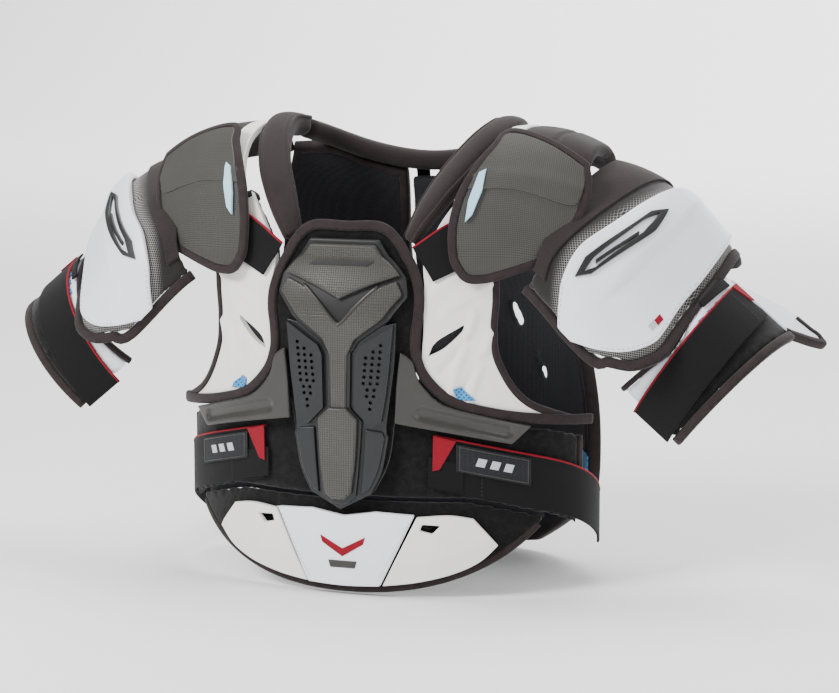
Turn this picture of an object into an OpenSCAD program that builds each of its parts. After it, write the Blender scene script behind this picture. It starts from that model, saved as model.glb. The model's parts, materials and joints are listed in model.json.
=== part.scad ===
// Ice hockey shoulder pads: a padded vest with moulded guards, shoulder caps and arm guards.
// Millimetres. The front faces -Y, the wearer's left is +X and +Z is up.
// The origin lies midway between the shoulders, at the height where the pads rest on them.

/* [Overall size] */
// Width of the torso shell at its base surface, side to side
torso_w = 400; // [330:1:480]
// Depth of the torso shell at its base surface, front to back
torso_d = 250; // [205:1:300]
// Height from the shoulder rest down to the belly hem
torso_h = 428; // [355:1:515]
// Distance from the middle of the body to the middle of an arm guard's mouth
arm_reach = 264; // [240:1:300]

/* [Shoulder arch] */
// Front to back spread of the shoulder arch
arch_d = 224; // [190:1:268]
// Drop from the top of the shoulder arch to the straight chest
arch_drop = 105; // [90:1:125]
// Height of the arch's base surface over the shoulder rest
arch_rise = 8; // [2:0.5:16]
// Outer end of the shoulder arch, from the middle of the body
arch_end = 212; // [195:1:220]

/* [Collar] */
// Width of the padded collar roll
collar_w = 32; // [22:1:36]
// Thickness of the padded collar roll
collar_t = 24; // [16:1:27]

/* [Layers] */
// Thickness of the foam lining of the chest and belly
liner_t = 8; // [5:0.5:11]
// Thickness of the foam in the back and over the shoulders
back_t = 12; // [8:0.5:16]
// Thickness of the moulded chest and belly panels
panel_t = 7; // [4:0.5:10]
// Thickness of the moulded plastic guards
guard_t = 5; // [3:0.5:7]
// Thickness of the elastic straps
strap_t = 2.5; // [1.5:0.1:4]
// Clearance between two layers that lie on each other
layer_gap = 1.2; // [0.8:0.1:2]
// Clearance between two pieces that lie side by side
side_gap = 3; // [2:0.5:6]

/* [Arm] */
// Half width of a shoulder cap, from its middle to its front or back edge
cap_half_w = 103; // [86:1:124]
// Depth of a shoulder cap, from its edges to its crown
cap_depth = 74; // [62:1:88]
// Radius of an arm guard's base surface
guard_r = 84; // [72:1:96]

/* [Straps] */
// Width of the two torso straps
torso_strap_w = 52; // [40:1:62]
// Width of the two arm straps
arm_strap_w = 44; // [34:1:52]

/* [Hidden] */

half_w = torso_w / 2;
half_d = torso_d / 2;
// The pattern is drawn for these sizes and graded to the sizes set above
pattern_w = 400;
pattern_h = 428;
pattern_arch_d = 224;
pattern_rise = 8;
kx = torso_w / pattern_w;
// The shoulders and the arm holes keep their height: the torso is graded below this height
grade_from = -160;
kz = (torso_h + grade_from) / (pattern_h + grade_from);
function graded_z(z) = z > grade_from ? z : grade_from + (z - grade_from) * kz;
// The shoulder arch is this half width at the sides, which sets how fast it narrows outwards
arch_half_w = 250 * kx;
// How square the arch's section is: 1 is an ellipse, less is squarer
squareness = 0.85;
back_squareness = 0.6;
// Below the arch its surface runs into the torso's over this height
blend_h = 60;
// The shoulders fall away outwards beyond this point
slope_from = 140 * kx;
slope = 0.0035;

// Heights over the base surface of the layers of the chest, from the inside out
panel_lo = liner_t + layer_gap;
panel_hi = panel_lo + panel_t;
strap_lo = panel_hi + layer_gap;
strap_hi = strap_lo + strap_t;
guard_lo = panel_hi + layer_gap;
guard_hi = guard_lo + guard_t;
// and of the straps that lie straight on the lining
wrap_lo = liner_t + layer_gap;
wrap_hi = wrap_lo + strap_t;
// and of the epaulettes, which float over the clavicle straps
epaulette_lo = max(strap_hi, back_t) + 2 * layer_gap;
epaulette_hi = epaulette_lo + guard_t;

// ---- curves and grids ----

function spline(a, b, c, d, t) =
    ((2 * b) + (c - a) * t + (2 * a - 5 * b + 4 * c - d) * t * t
    + (3 * b - a - 3 * c + d) * t * t * t) / 2;

// The point a share u of the way along a smooth curve through the points
function along(pts, u) =
    let (last = len(pts) - 1, i = min(floor(u * last), last - 1), t = u * last - i)
    let (b = pts[i], c = pts[i + 1])
    let (a = i > 0 ? pts[i - 1] : 2 * b - c, d = i + 2 <= last ? pts[i + 2] : 2 * c - b)
    spline(a, b, c, d, t);

function refine(pts, n) = [for (i = [0:n]) along(pts, i / n)];

// A grid of rows + 1 by columns + 1 points through the ribs of a pattern
function grid(ribs, rows, columns) =
    let (fine = [for (rib = ribs) refine(rib, columns)])
    let (cols = [for (j = [0:columns]) refine([for (rib = fine) rib[j]], rows)])
    [for (i = [0:rows]) [for (j = [0:columns]) cols[j][i]]];

function unit(v) = v / max(norm(v), 1e-9);

// A pattern grown by d past its outline
function grown(ribs, d) =
    let (last = len(ribs) - 1)
    let (wide = [for (r = ribs) let (n = len(r) - 1) [for (j = [0:n])
        j == 0 ? r[0] + d * unit(r[0] - r[1]) : j == n ? r[n] + d * unit(r[n] - r[n - 1]) : r[j]]])
    [for (i = [0:last]) [for (j = [0:len(wide[i]) - 1])
        i == 0 ? wide[0][j] + d * unit(wide[0][j] - wide[1][j])
        : i == last ? wide[last][j] + d * unit(wide[last][j] - wide[last - 1][j])
        : wide[i][j]]];

// ---- surfaces ----

function arch_top(x) = arch_rise - slope * pow(max(0, abs(x) - slope_from), 2);
function arch_half(x) = arch_d / 2 * sqrt(max(0.05, 1 - pow(x / arch_half_w, 2)));
function torso_half(x) = half_d * sqrt(max(0.02, 1 - pow(x / half_w, 2)));

// How far from the middle plane the shell stands at x, z, with its arch of a squareness q
function shell_depth(x, z, q) =
    let (drop = arch_top(x) - z, share = max(0, min(1, (drop - arch_drop) / blend_h)))
    drop < arch_drop
        ? let (c = pow(max(0, 1 - max(0, drop) / arch_drop), 1 / q))
            arch_half(x) * pow(max(0, 1 - c * c), q / 2)
        : arch_half(x) + (torso_half(x) - arch_half(x)) * share * share * (3 - 2 * share);

function chest(p) = let (x = p[0] * kx, z = graded_z(p[1])) [x, -shell_depth(x, z, squareness), z];
function back(p) = let (x = p[0] * kx, z = graded_z(p[1])) [x, shell_depth(x, z, back_squareness), z];
// p is [degrees round from the front, height]
function torso(p) = [half_w * sin(p[0]), -half_d * cos(p[0]), p[1]];
// p is [x, degrees over the shoulder from front to back], past 90 straight down by a mm a degree
function arch(p) =
    let (x = p[0], a = min(90, abs(p[1])), s = sin(a), q = p[1] < 0 ? squareness : back_squareness)
    [x, sign(p[1]) * arch_half(x) * pow(s, q),
     arch_top(x) - arch_drop * (1 - pow(max(0, cos(a)), q)) - (abs(p[1]) - a)];

// The arm's frame: down the arm, out of the cap's crown, and towards the cap's front edge
arm_at = [arm_reach * kx, -19, -153];
arm_down = unit([0.768, -0.03, -0.64]);
cap_front = unit(cross(arm_down, [0.524, -0.574, 0.629]));
cap_out = cross(cap_front, arm_down);
function arm(t, out, front) = arm_at + t * arm_down + out * cap_out + front * cap_front;
cap_back_shift = -5;
cap_squareness = 0.77;
// The cap narrows towards the neck by this share for each millimetre of its length
cap_taper = 0.0013;
// and its hem curls in towards the arm, to this share of its depth
cap_curl = 0.6;
curl_from = -60;
curl_over = 110;
function curl(t) =
    let (u = max(0, min(1, (t - curl_from) / curl_over)))
    1 - (1 - cap_curl) * u * u * (3 - 2 * u);
// p is [degrees from the crown to the front edge, distance down the arm]
function cap(p) =
    let (k = 1 - cap_taper * max(0, -p[1] - 30), s = sin(p[0]))
    arm(p[1], cap_depth * k * curl(p[1]) * pow(max(0, cos(p[0])), cap_squareness),
        cap_back_shift + cap_half_w * k * sign(s) * pow(abs(s), cap_squareness));
guard_centre = [-32, -14];
// p is [degrees, distance down the arm, how far it flares out]
function arm_guard(p) =
    let (r = guard_r + (len(p) > 2 ? p[2] : 0))
    arm(p[1], guard_centre[0] + r * cos(p[0]), guard_centre[1] + r * sin(p[0]));

// ---- solids ----

function side(g, i, j) =
    let (n = len(g) - 1, m = len(g[0]) - 1)
    unit(cross(g[min(n, i + 1)][j] - g[max(0, i - 1)][j],
        g[i][min(m, j + 1)] - g[i][max(0, j - 1)]));

// How much of a crown stands at a share u, v of a piece
function crown_at(u, v) = (1 - pow(2 * u - 1, 4)) * (1 - pow(2 * v - 1, 4));

// A curved sheet over a grid, from lo to hi above it, its middle raised by crown
module sheet(g, lo, hi, crown = 0) {
    n = len(g) - 1;
    m = len(g[0]) - 1;
    w = m + 1;
    inner = [for (i = [0:n], j = [0:m]) g[i][j] + lo * side(g, i, j)];
    outer = [for (i = [0:n], j = [0:m])
        g[i][j] + (hi + crown * crown_at(i / n, j / m)) * side(g, i, j)];
    o = len(inner);
    top = [for (i = [0:n - 1], j = [0:m - 1]) let (a = o + i * w + j)
        each [[a, a + 1, a + w + 1], [a, a + w + 1, a + w]]];
    under = [for (i = [0:n - 1], j = [0:m - 1]) let (a = i * w + j)
        each [[a, a + w + 1, a + 1], [a, a + w, a + w + 1]]];
    rim = concat([for (j = [0:m]) j], [for (i = [1:n]) i * w + m],
        [for (j = [m - 1:-1:0]) n * w + j], [for (i = [n - 1:-1:1]) i * w]);
    walls = [for (k = [0:len(rim) - 1]) let (a = rim[k], b = rim[(k + 1) % len(rim)])
        each [[a, b, o + b], [a, o + b, o + a]]];
    polyhedron(concat(inner, outer), concat(top, under, walls));
}

// An oval roll along a path
module roll(path, w, t, sides = 10) {
    n = len(path) - 1;
    rings = [for (i = [0:n])
        let (ahead = unit(path[min(n, i + 1)] - path[max(0, i - 1)]))
        let (across = unit(cross(ahead, [0, 0, 1])), up = cross(across, ahead))
        each [for (k = [0:sides - 1]) let (a = 360 * k / sides)
            path[i] + w / 2 * cos(a) * across + t / 2 * sin(a) * up]];
    skin = [for (i = [0:n - 1], k = [0:sides - 1])
        let (a = i * sides + k, b = i * sides + (k + 1) % sides)
        each [[a, b + sides, a + sides], [a, b, b + sides]]];
    polyhedron(rings, concat(skin, [[for (k = [sides - 1:-1:0]) k]],
        [[for (k = [0:sides - 1]) n * sides + k]]));
}

module mirrored() { mirror([1, 0, 0]) children(); }

function on(surface, g) = [for (row = g) [for (p = row)
    surface == "chest" ? chest(p) : surface == "back" ? back(p)
    : surface == "torso" ? torso(p) : surface == "arch" ? arch(p)
    : surface == "cap" ? cap(p) : arm_guard(p)]];
function flipped(g) = [for (row = g) [for (j = [len(row) - 1:-1:0]) row[j]]];

// ---- back ----

spine_half = 24;
// The back pad's ribs run from the neck to the hem, each from the spine to the side
back_ribs = [
    [[spine_half + side_gap, -36], [66, -32], [112, -26]],
    [[spine_half + side_gap, -62], [80, -62], [136, -64]],
    [[spine_half + side_gap, -120], [84, -120], [142, -118]],
    [[spine_half + side_gap, -175], [88, -177], [150, -172]],
    [[spine_half + side_gap, -232], [100, -232], [184, -226]],
    [[spine_half + side_gap, -290], [110, -292], [196, -292]],
    [[spine_half + side_gap, -345], [104, -348], [190, -344]],
    [[spine_half + side_gap, -392], [86, -392], [152, -386]],
    [[spine_half + side_gap, -420], [66, -420], [118, -412]]];
spine_ribs = [
    [[-spine_half, -38], [0, -38], [spine_half, -38]],
    [[-spine_half, -120], [0, -120], [spine_half, -120]],
    [[-spine_half, -290], [0, -290], [spine_half, -290]],
    [[-spine_half, -416], [0, -422], [spine_half, -416]]];
// Vent slots through the back pad: place, length and turn
vents = [[92, -178, 30, 60], [122, -228, 34, 60], [72, -120, 26, 70]];
vent_w = 9;

module back_pad() {
    color("#161617") difference() {
        sheet(flipped(on("back", grid(back_ribs, 14, 7))), 0, back_t);
        for (v = vents)
            translate([v[0] * kx, half_d, graded_z(v[1])]) rotate([90, v[3], 0])
                cube([v[2], vent_w, half_d], center = true);
    }
}
module back_pad_left() back_pad();
module back_pad_right() mirrored() back_pad();
module spine_pad() {
    color("#1b1b1d") sheet(flipped(on("back", grid(spine_ribs, 12, 3))), 0, back_t);
}

// Two webbing straps tie the spine pad to the back of the collar
webbing_w = 14;
webbing_at = 12;
module neck_webbing() {
    color("#2a2a2c") for (s = [-1, 1])
        sheet(flipped(on("back", grid([for (z = [-34, -60, -96])
            [[s * webbing_at - webbing_w / 2, z], [s * webbing_at + webbing_w / 2, z]]], 5, 1))),
            back_t + layer_gap, back_t + layer_gap + strap_t);
}

// ---- shoulders and collar ----

arch_start = 138 * kx;
module shoulder_arch() {
    color("#3a3334") sheet(flipped(on("arch", grid([for (a = [-58, -30, 0, 30, 56])
        [[arch_start, a], [(arch_start + arch_end) / 2, a], [arch_end, a * 0.92]]], 14, 5))),
        0, back_t, 2);
}
module shoulder_arch_left() shoulder_arch();
module shoulder_arch_right() mirrored() shoulder_arch();

// Middle of the collar roll, from the sternum over the shoulder to the nape
collar_front = [[60, -116, -84], [74, -104, -56], [92, -80, -24], [108, -42, 4], [117, 0, 18],
    [115, 34, 16]];
collar_rear = [[113, 44, 13], [98, 76, 3], [66, 98, -11], [34, 107, -19], [0, 109, -22]];
function graded(p) = [p[0] * kx, p[1] * arch_d / pattern_arch_d, p[2] + arch_rise - pattern_rise];
module collar() {
    color("#3b3233") roll([for (p = refine(collar_front, 16)) graded(p)], collar_w, collar_t);
}
module collar_left() collar();
module collar_right() mirrored() collar();
module collar_back() {
    half = refine(collar_rear, 9);
    color("#35302f") roll([for (p = concat([for (p = half) p],
        [for (i = [8:-1:0]) [-half[i][0], half[i][1], half[i][2]]])) graded(p)],
        collar_w * 0.85, collar_t * 0.85);
}

// ---- chest ----

// The white chest panel's ribs run from beside the collar down to the ribs
chest_ribs = [
    [[104, -46], [109, -48], [114, -52]],
    [[89, -70], [109, -72], [130, -75]],
    [[77, -99], [108, -99], [140, -99]],
    [[80, -130], [110, -130], [139, -130]],
    [[80, -165], [108, -165], [135, -163]],
    [[77, -197], [106, -200], [138, -196]],
    [[84, -220], [122, -226], [158, -233]],
    [[100, -237], [146, -248], [194, -256]]];
module chest_liner() {
    color("#2c2829") sheet(on("chest", grid(grown(chest_ribs, 5), 14, 6)), 0, liner_t);
}
module chest_panel() {
    color("#e9e8e4") sheet(on("chest", grid(chest_ribs, 14, 6)), panel_lo, panel_hi - 1, 1);
}
module chest_liner_left() chest_liner();
module chest_liner_right() mirrored() chest_liner();
module chest_panel_left() chest_panel();
module chest_panel_right() mirrored() chest_panel();

// The elastic that ties the sternum guard to the shoulder
pattern_collar_w = 32;
collar_side = max(0, collar_w - pattern_collar_w) / 2;
clavicle_ribs = [
    [[64 + collar_side, -88], [98, -68], [122, -56]],
    [[82, -124], [112, -106], [134, -94]]];
module clavicle_strap() {
    color("#191919") sheet(on("chest", grid(clavicle_ribs, 5, 5)), strap_lo, strap_hi);
}
module clavicle_strap_left() clavicle_strap();
module clavicle_strap_right() mirrored() clavicle_strap();

// ---- sternum ----

// Half outlines of the sternum pieces: [half width, height] from the top down
function both_sides(half) = [for (p = half) [[-p[0], p[1]], [-p[0] * 0.5, p[1]], [0, p[1]],
    [p[0] * 0.5, p[1]], [p[0], p[1]]]];
backing_half = [[34, -70], [54, -84], [65, -105], [74, -126], [75, -150], [60, -176], [48, -210],
    [42, -290], [30, -322]];
plate_half = [[52, -152], [57, -164], [52, -200], [46, -240], [44, -262], [38, -296], [30, -332],
    [10, -350]];
head_half = [[36, -82], [47, -94], [60, -112], [70, -131], [62, -146], [50, -150]];
keel_half = [[13, -176], [10, -200], [10, -238], [18, -256], [18, -300], [14, -322], [6, -330]];
module sternum_backing() {
    color("#3b3536") sheet(on("chest", grid(both_sides(backing_half), 14, 6)), panel_lo, panel_hi);
}
plate_crown = 4;
head_crown = 6;
module sternum_plate() {
    color("#3d3e3f") sheet(on("chest", grid(both_sides(plate_half), 12, 6)), guard_lo, guard_hi, plate_crown);
}
module sternum_head_guard() {
    color("#4c4c48") sheet(on("chest", grid(both_sides(head_half), 8, 8)), guard_lo, guard_hi, head_crown);
}
// The keel stands clear of the plate's crown
keel_lo = guard_hi + plate_crown + layer_gap;
module sternum_keel() {
    color("#55554f") sheet(on("chest", grid(both_sides(keel_half), 10, 4)), keel_lo, keel_lo + guard_t);
}
vent_ribs = [
    [[30, -176], [40, -170], [49, -166]],
    [[22, -196], [33, -196], [46, -196]],
    [[20, -226], [31, -226], [41, -226]],
    [[21, -246], [28, -248], [36, -250]]];
module sternum_vent() {
    color("#333438") sheet(on("chest", grid(vent_ribs, 5, 3)), keel_lo, keel_lo + guard_t / 2);
}
module sternum_vent_left() sternum_vent();
module sternum_vent_right() mirrored() sternum_vent();

wing_ribs = [
    [[52, -240], [100, -249], [160, -262]],
    [[52, -249], [99, -257], [154, -270]],
    [[50, -258], [98, -266], [144, -278]]];
module rib_wing() {
    color("#55564f") sheet(on("chest", grid(wing_ribs, 4, 9)), guard_lo, guard_hi, 2);
}
module rib_wing_left() rib_wing();
module rib_wing_right() mirrored() rib_wing();

// ---- belly ----

// Height of the middle of a torso strap, which falls away towards the back
strap_front = 25;
strap_rear = 105;
function strap_z(a) = graded_z(-292 - (a - strap_front) * 0.7 - 0.012 * pow(max(0, a - 60), 2)
    + 0.045 * pow(max(0, a - 95), 2));
// The flex line between the belly pad and the belly guard follows the strap's lower edge
flex_gap = 9;
function flex_z(a) = min(graded_z(-330), strap_z(max(strap_front, abs(a))) - torso_strap_w / 2 - flex_gap / 2);
belly_side = 78;
module belly_pad() {
    ribs = [for (s = [0:0.25:1]) [for (a = [-belly_side:belly_side / 4:belly_side])
        let (top = graded_z(-246 - 26 * pow(abs(a) / belly_side, 2)), low = flex_z(a) + flex_gap / 2)
        [a, top + (low - top) * s]]];
    color("#141414") sheet(on("torso", grid(ribs, 5, 18)), 0, liner_t);
}
function guard_hem(a) = graded_z(-422 + 58 * pow(abs(a) / 56, 2.2));
function guard_top(a) = flex_z(a) - flex_gap / 2;
belly_guard_side = 56;
// A vent slot stands on each side of the centre panel
slot_at = [76, -352];
slot_turn = 12;
slot_l = 21;
slot_w = 8;
module belly_guard_pad() {
    ribs = [for (s = [0:0.25:1]) [for (a = [-belly_guard_side:belly_guard_side / 4:belly_guard_side])
        [a, guard_top(a) + (guard_hem(a) - guard_top(a)) * s]]];
    color("#1a1919") difference() {
        sheet(on("torso", grid(ribs, 6, 16)), 0, liner_t);
        for (s = [-1, 1])
            translate([s * slot_at[0] * kx, -half_d, graded_z(slot_at[1])]) rotate([0, s * slot_turn, 0])
                cube([slot_l, half_d, slot_w], center = true);
    }
}
// The white panels on the belly guard: [half width in degrees, share of the guard's height]
hem_margin = 7;
module belly_panel(from, to, top_drop, columns) {
    ribs = [for (s = [0:0.5:1]) [for (i = [0:4])
        let (u = i / 4, a = from[0] + (to[0] - from[0]) * u, b = from[1] + (to[1] - from[1]) * u)
        let (w = a + (b - a) * s, top = guard_top(w) - top_drop, low = guard_hem(w) + hem_margin)
        [w, top + (low - top) * s]]];
    color("#ececec") sheet(on("torso", grid(ribs, 5, columns)), panel_lo, panel_hi);
}
module belly_centre_panel() belly_panel([-19.5, -9.5], [19.5, 9.5], 12, 8);
module belly_side_panel() belly_panel([21, 11], [42, 32], 12, 6);
module belly_side_panel_left() belly_side_panel();
module belly_side_panel_right() mirrored() belly_side_panel();

// ---- torso straps ----

function wrap(from, to, half, steps) = [for (s = [1, -1])
    [for (i = [0:steps]) let (a = from + (to - from) * i / steps) [a, strap_z(a) + s * half]]];
module torso_strap() {
    color("#171717") sheet(on("torso", grid(wrap(strap_front, strap_rear, torso_strap_w / 2, 6), 2, 16)),
        wrap_lo, wrap_hi);
}
module torso_strap_left() torso_strap();
module torso_strap_right() mirrored() torso_strap();
patch_lo = wrap_hi + layer_gap;
module strap_patch() {
    color("#222224") sheet(on("torso", grid(wrap(31, 54, torso_strap_w * 0.27, 3), 2, 5)),
        patch_lo, patch_lo + strap_t / 2);
}
module strap_patch_left() strap_patch();
module strap_patch_right() mirrored() strap_patch();
module strap_pull() {
    color("#b3203a") sheet(on("torso", grid(wrap(strap_front, 29.5, torso_strap_w * 0.36, 2), 2, 2)),
        patch_lo, patch_lo + strap_t / 2);
}
module strap_pull_left() strap_pull();
module strap_pull_right() mirrored() strap_pull();

// ---- epaulettes ----

// The outline runs from the hinge edge beside the collar to the outer edge, front to back
epaulette_ribs = [
    [[139, -28], [172, -32], [204, -38]],
    [[128, -40], [168, -44], [207, -48]],
    [[114, -53], [160, -57], [205, -60]],
    [[103, -68], [149, -72], [198, -75]],
    [[98, -85], [135, -89], [169, -93]],
    [[110, -109], [126, -111], [145, -106]]];
module epaulette() {
    color("#5b5a54") sheet(on("arch", grid(
        [for (r = epaulette_ribs) [for (p = r) [p[0] * kx, p[1]]]], 12, 8)), epaulette_lo, epaulette_hi);
}
module epaulette_left() epaulette();
module epaulette_right() mirrored() epaulette();
field_ribs = [
    [[144, -32], [172, -36], [199, -41]],
    [[134, -42], [168, -45], [201, -49]],
    [[121, -53], [160, -55], [198, -59]],
    [[113, -62], [151, -61], [191, -63]]];
field_lo = epaulette_hi + layer_gap;
module epaulette_field() {
    color("#66655e") sheet(on("arch", grid(
        [for (r = field_ribs) [for (p = r) [p[0] * kx, p[1]]]], 6, 6)), field_lo, field_lo + guard_t / 2, 1);
}
module epaulette_field_left() epaulette_field();
module epaulette_field_right() mirrored() epaulette_field();

// ---- shoulder caps ----

// Each rib runs down the arm: [degrees, top, hem]
cap_lines = [[-88, -108, 12], [-60, -117, 15], [-35, -115, 20], [-12, -107, 27], [10, -95, 36],
    [32, -83, 44],
    [55, -78, 32], [74, -84, 4], [88, -90, -22]];
cap_liner_t = 9;
function cap_grid(lines, rows, columns) = grid([for (c = lines)
    [for (s = [0:0.5:1]) [c[0], c[1] + (c[2] - c[1]) * s]]], rows, columns);
module cap_liner() {
    color("#2b2728") sheet(flipped(on("cap", cap_grid(cap_lines, 16, 8))), 0, cap_liner_t);
}
module cap_liner_left() cap_liner();
module cap_liner_right() mirrored() cap_liner();
shell_lines = [[-86, -34, 5], [-60, -44, 8], [-35, -54, 13], [-12, -60, 20], [10, -66, 29], [32, -70, 36],
    [52, -60, 24], [66, -48, 4], [78, -36, -20]];
cap_shell_lo = cap_liner_t + layer_gap;
module cap_shell() {
    color("#eceef5") sheet(flipped(on("cap", cap_grid(shell_lines, 14, 8))),
        cap_shell_lo, cap_shell_lo + panel_t, 2);
}
module cap_shell_left() cap_shell();
module cap_shell_right() mirrored() cap_shell();
yoke_lines = [[-86, -104, -38], [-60, -113, -48], [-35, -111, -58], [-12, -103, -64], [10, -91, -70],
    [30, -81, -75]];
module cap_yoke() {
    color("#3a3435") sheet(flipped(on("cap", cap_grid(yoke_lines, 10, 5))),
        cap_shell_lo, cap_shell_lo + panel_t / 2);
}
module cap_yoke_left() cap_yoke();
module cap_yoke_right() mirrored() cap_yoke();

// ---- arm guards ----

arm_pad_t = 8;
arm_pad_ribs = [
    [[-34, 29], [-34, 46], [-34, 64]],
    [[0, 38], [0, 50], [0, 64]],
    [[40, 51], [40, 57], [40, 64]],
    [[82, 40], [82, 52], [82, 64]]];
arm_loop_ribs = [for (d = [-34, 0, 40, 82]) [[d, 64 + side_gap], [d, 88], [d, 112 - 0.05 * d]]];
arm_flare_ribs = [
    [[-37, 34, 0], [-37, 74, 0], [-37, 114, 0]],
    [[-50, 62, 4], [-50, 96, 5], [-50, 130, 6]],
    [[-62, 90, 14], [-62, 118, 16], [-62, 146, 18]]];
module arm_pad() {
    color("#e6e6ea") sheet(flipped(on("guard", grid(arm_pad_ribs, 12, 3))), 0, arm_pad_t);
}
module arm_loop_panel() {
    color("#131313") sheet(flipped(on("guard", grid(arm_loop_ribs, 12, 4))), 0, arm_pad_t);
}
module arm_flare() {
    color("#efeff2") sheet(flipped(on("guard", grid(arm_flare_ribs, 6, 6))), 0, arm_pad_t - 1);
}
module arm_pad_left() arm_pad();
module arm_pad_right() mirrored() arm_pad();
module arm_loop_panel_left() arm_loop_panel();
module arm_loop_panel_right() mirrored() arm_loop_panel();
module arm_flare_left() arm_flare();
module arm_flare_right() mirrored() arm_flare();

// A short elastic ties the guard up into the cap
tie_lo = arm_pad_t + layer_gap;
module cap_tie() {
    color("#191919") sheet(flipped(on("guard",
        grid([for (d = [-20, -6, 8]) [[d, 36 + 0.1 * d], [d, 44]]], 4, 2))), tie_lo, tie_lo + strap_t);
}
module cap_tie_left() cap_tie();
module cap_tie_right() mirrored() cap_tie();

// The arm strap is sewn to the guard's lower edge and its free end grips the loop panel
strap_mid = 83;
strap_end = -24;
strap_turn = 86;
function strap_t_at(d) = strap_mid - 0.14 * (strap_turn - d) * (d < strap_turn ? 1 : 0);
function band(from, to, steps) = [for (i = [0:steps]) let (d = from + (to - from) * i / steps)
    [[d, strap_t_at(d) - arm_strap_w / 2], [d, strap_t_at(d) + arm_strap_w / 2]]];
module arm_strap() {
    color("#171717") sheet(flipped(on("guard", grid(band(strap_end, strap_turn - 2, 6), 12, 2))),
        tie_lo, tie_lo + strap_t);
}
module arm_strap_left() arm_strap();
module arm_strap_right() mirrored() arm_strap();
back_pad_left();
back_pad_right();
spine_pad();
neck_webbing();
shoulder_arch_left();
shoulder_arch_right();
collar_left();
collar_right();
collar_back();
chest_liner_left();
chest_liner_right();
chest_panel_left();
chest_panel_right();
clavicle_strap_left();
clavicle_strap_right();
sternum_backing();
sternum_plate();
sternum_head_guard();
sternum_keel();
sternum_vent_left();
sternum_vent_right();
rib_wing_left();
rib_wing_right();
belly_pad();
belly_guard_pad();
belly_centre_panel();
belly_side_panel_left();
belly_side_panel_right();
torso_strap_left();
torso_strap_right();
strap_patch_left();
strap_patch_right();
strap_pull_left();
strap_pull_right();
epaulette_left();
epaulette_right();
epaulette_field_left();
epaulette_field_right();
cap_liner_left();
cap_liner_right();
cap_shell_left();
cap_shell_right();
cap_yoke_left();
cap_yoke_right();
arm_pad_left();
arm_pad_right();
arm_loop_panel_left();
arm_loop_panel_right();
arm_flare_left();
arm_flare_right();
cap_tie_left();
cap_tie_right();
arm_strap_left();
arm_strap_right();
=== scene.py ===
import json
import math

import bpy
import numpy as np
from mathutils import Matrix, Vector
from mathutils.kdtree import KDTree


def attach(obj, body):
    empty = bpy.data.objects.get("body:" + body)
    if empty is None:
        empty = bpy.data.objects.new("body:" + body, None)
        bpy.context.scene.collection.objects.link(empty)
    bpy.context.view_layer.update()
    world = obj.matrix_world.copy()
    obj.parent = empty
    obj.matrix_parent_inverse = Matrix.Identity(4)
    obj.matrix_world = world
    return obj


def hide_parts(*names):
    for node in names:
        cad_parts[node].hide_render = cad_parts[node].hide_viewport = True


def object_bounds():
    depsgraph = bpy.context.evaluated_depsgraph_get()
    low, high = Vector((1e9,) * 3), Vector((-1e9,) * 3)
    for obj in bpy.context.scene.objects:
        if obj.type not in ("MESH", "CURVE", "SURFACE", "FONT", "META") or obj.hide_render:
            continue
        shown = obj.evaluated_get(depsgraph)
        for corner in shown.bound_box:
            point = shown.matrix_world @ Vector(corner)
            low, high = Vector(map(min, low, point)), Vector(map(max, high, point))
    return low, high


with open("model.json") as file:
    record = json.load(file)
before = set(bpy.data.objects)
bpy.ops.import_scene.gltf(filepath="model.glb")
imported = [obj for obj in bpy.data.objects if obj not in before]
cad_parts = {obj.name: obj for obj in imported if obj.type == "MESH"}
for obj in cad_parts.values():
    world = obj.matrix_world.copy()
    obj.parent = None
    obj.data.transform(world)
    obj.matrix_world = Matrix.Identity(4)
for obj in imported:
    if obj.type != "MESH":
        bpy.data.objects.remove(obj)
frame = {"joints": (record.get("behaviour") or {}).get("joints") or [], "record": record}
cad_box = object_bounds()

# ---- The pattern: how flat pieces lie on the body ----
# Every piece is cut flat, in millimetres, and laid on one of the surfaces that the frame is built on: the
# chest, the back, the shoulder arch, the cap over the upper arm or the guard round the biceps. The left
# side is made and the right side is its mirror image.

mounts = {m["name"]: m for m in frame["record"]["mounts"]}
joints = {j["name"]: j for j in frame["joints"]}
half_w = mounts["torso_opening"]["dims"]["spacing_x_mm"] / 2
half_d = mounts["torso_opening"]["dims"]["spacing_y_mm"] / 2
arch_d = mounts["shoulder_rest"]["dims"]["length_mm"]
arch_rise = 8
arch_drop = 105
arch_half_w = 250
chest_squareness = 0.85
back_squareness = 0.6
blend_h = 60
slope_from = 140
slope = 0.0035
# Millimetres of cloth to a degree, over the shoulder, round the cap and round the guard
arch_mm = 1.9
cap_mm = 1.6
guard_mm = 1.466


def arch_top(x):
    return arch_rise - slope * np.maximum(0, np.abs(x) - slope_from) ** 2


def arch_half(x):
    return arch_d / 2 * np.sqrt(np.maximum(0.05, 1 - (x / arch_half_w) ** 2))


def shell(u, z, q, sign):
    """The torso shell at u millimetres round from its middle and at height z."""
    x = half_w * np.sin(u / half_w)
    drop = arch_top(x) - z
    share = np.clip((drop - arch_drop) / blend_h, 0, 1)
    share = share * share * (3 - 2 * share)
    lower = half_d * np.cos(u / half_w)
    rise = np.clip(1 - np.maximum(0, drop) / arch_drop, 0, 1) ** (1 / q)
    upper = arch_half(x) * np.maximum(0, 1 - rise * rise) ** (q / 2)
    straight = arch_half(x) + (lower - arch_half(x)) * share
    y = np.where(drop < arch_drop, upper, straight)
    return np.stack([x, sign * y, z], -1)


def chest(u, z):
    return shell(u, z, chest_squareness, -1)


def back(u, z):
    return shell(u, z, back_squareness, 1)


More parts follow.
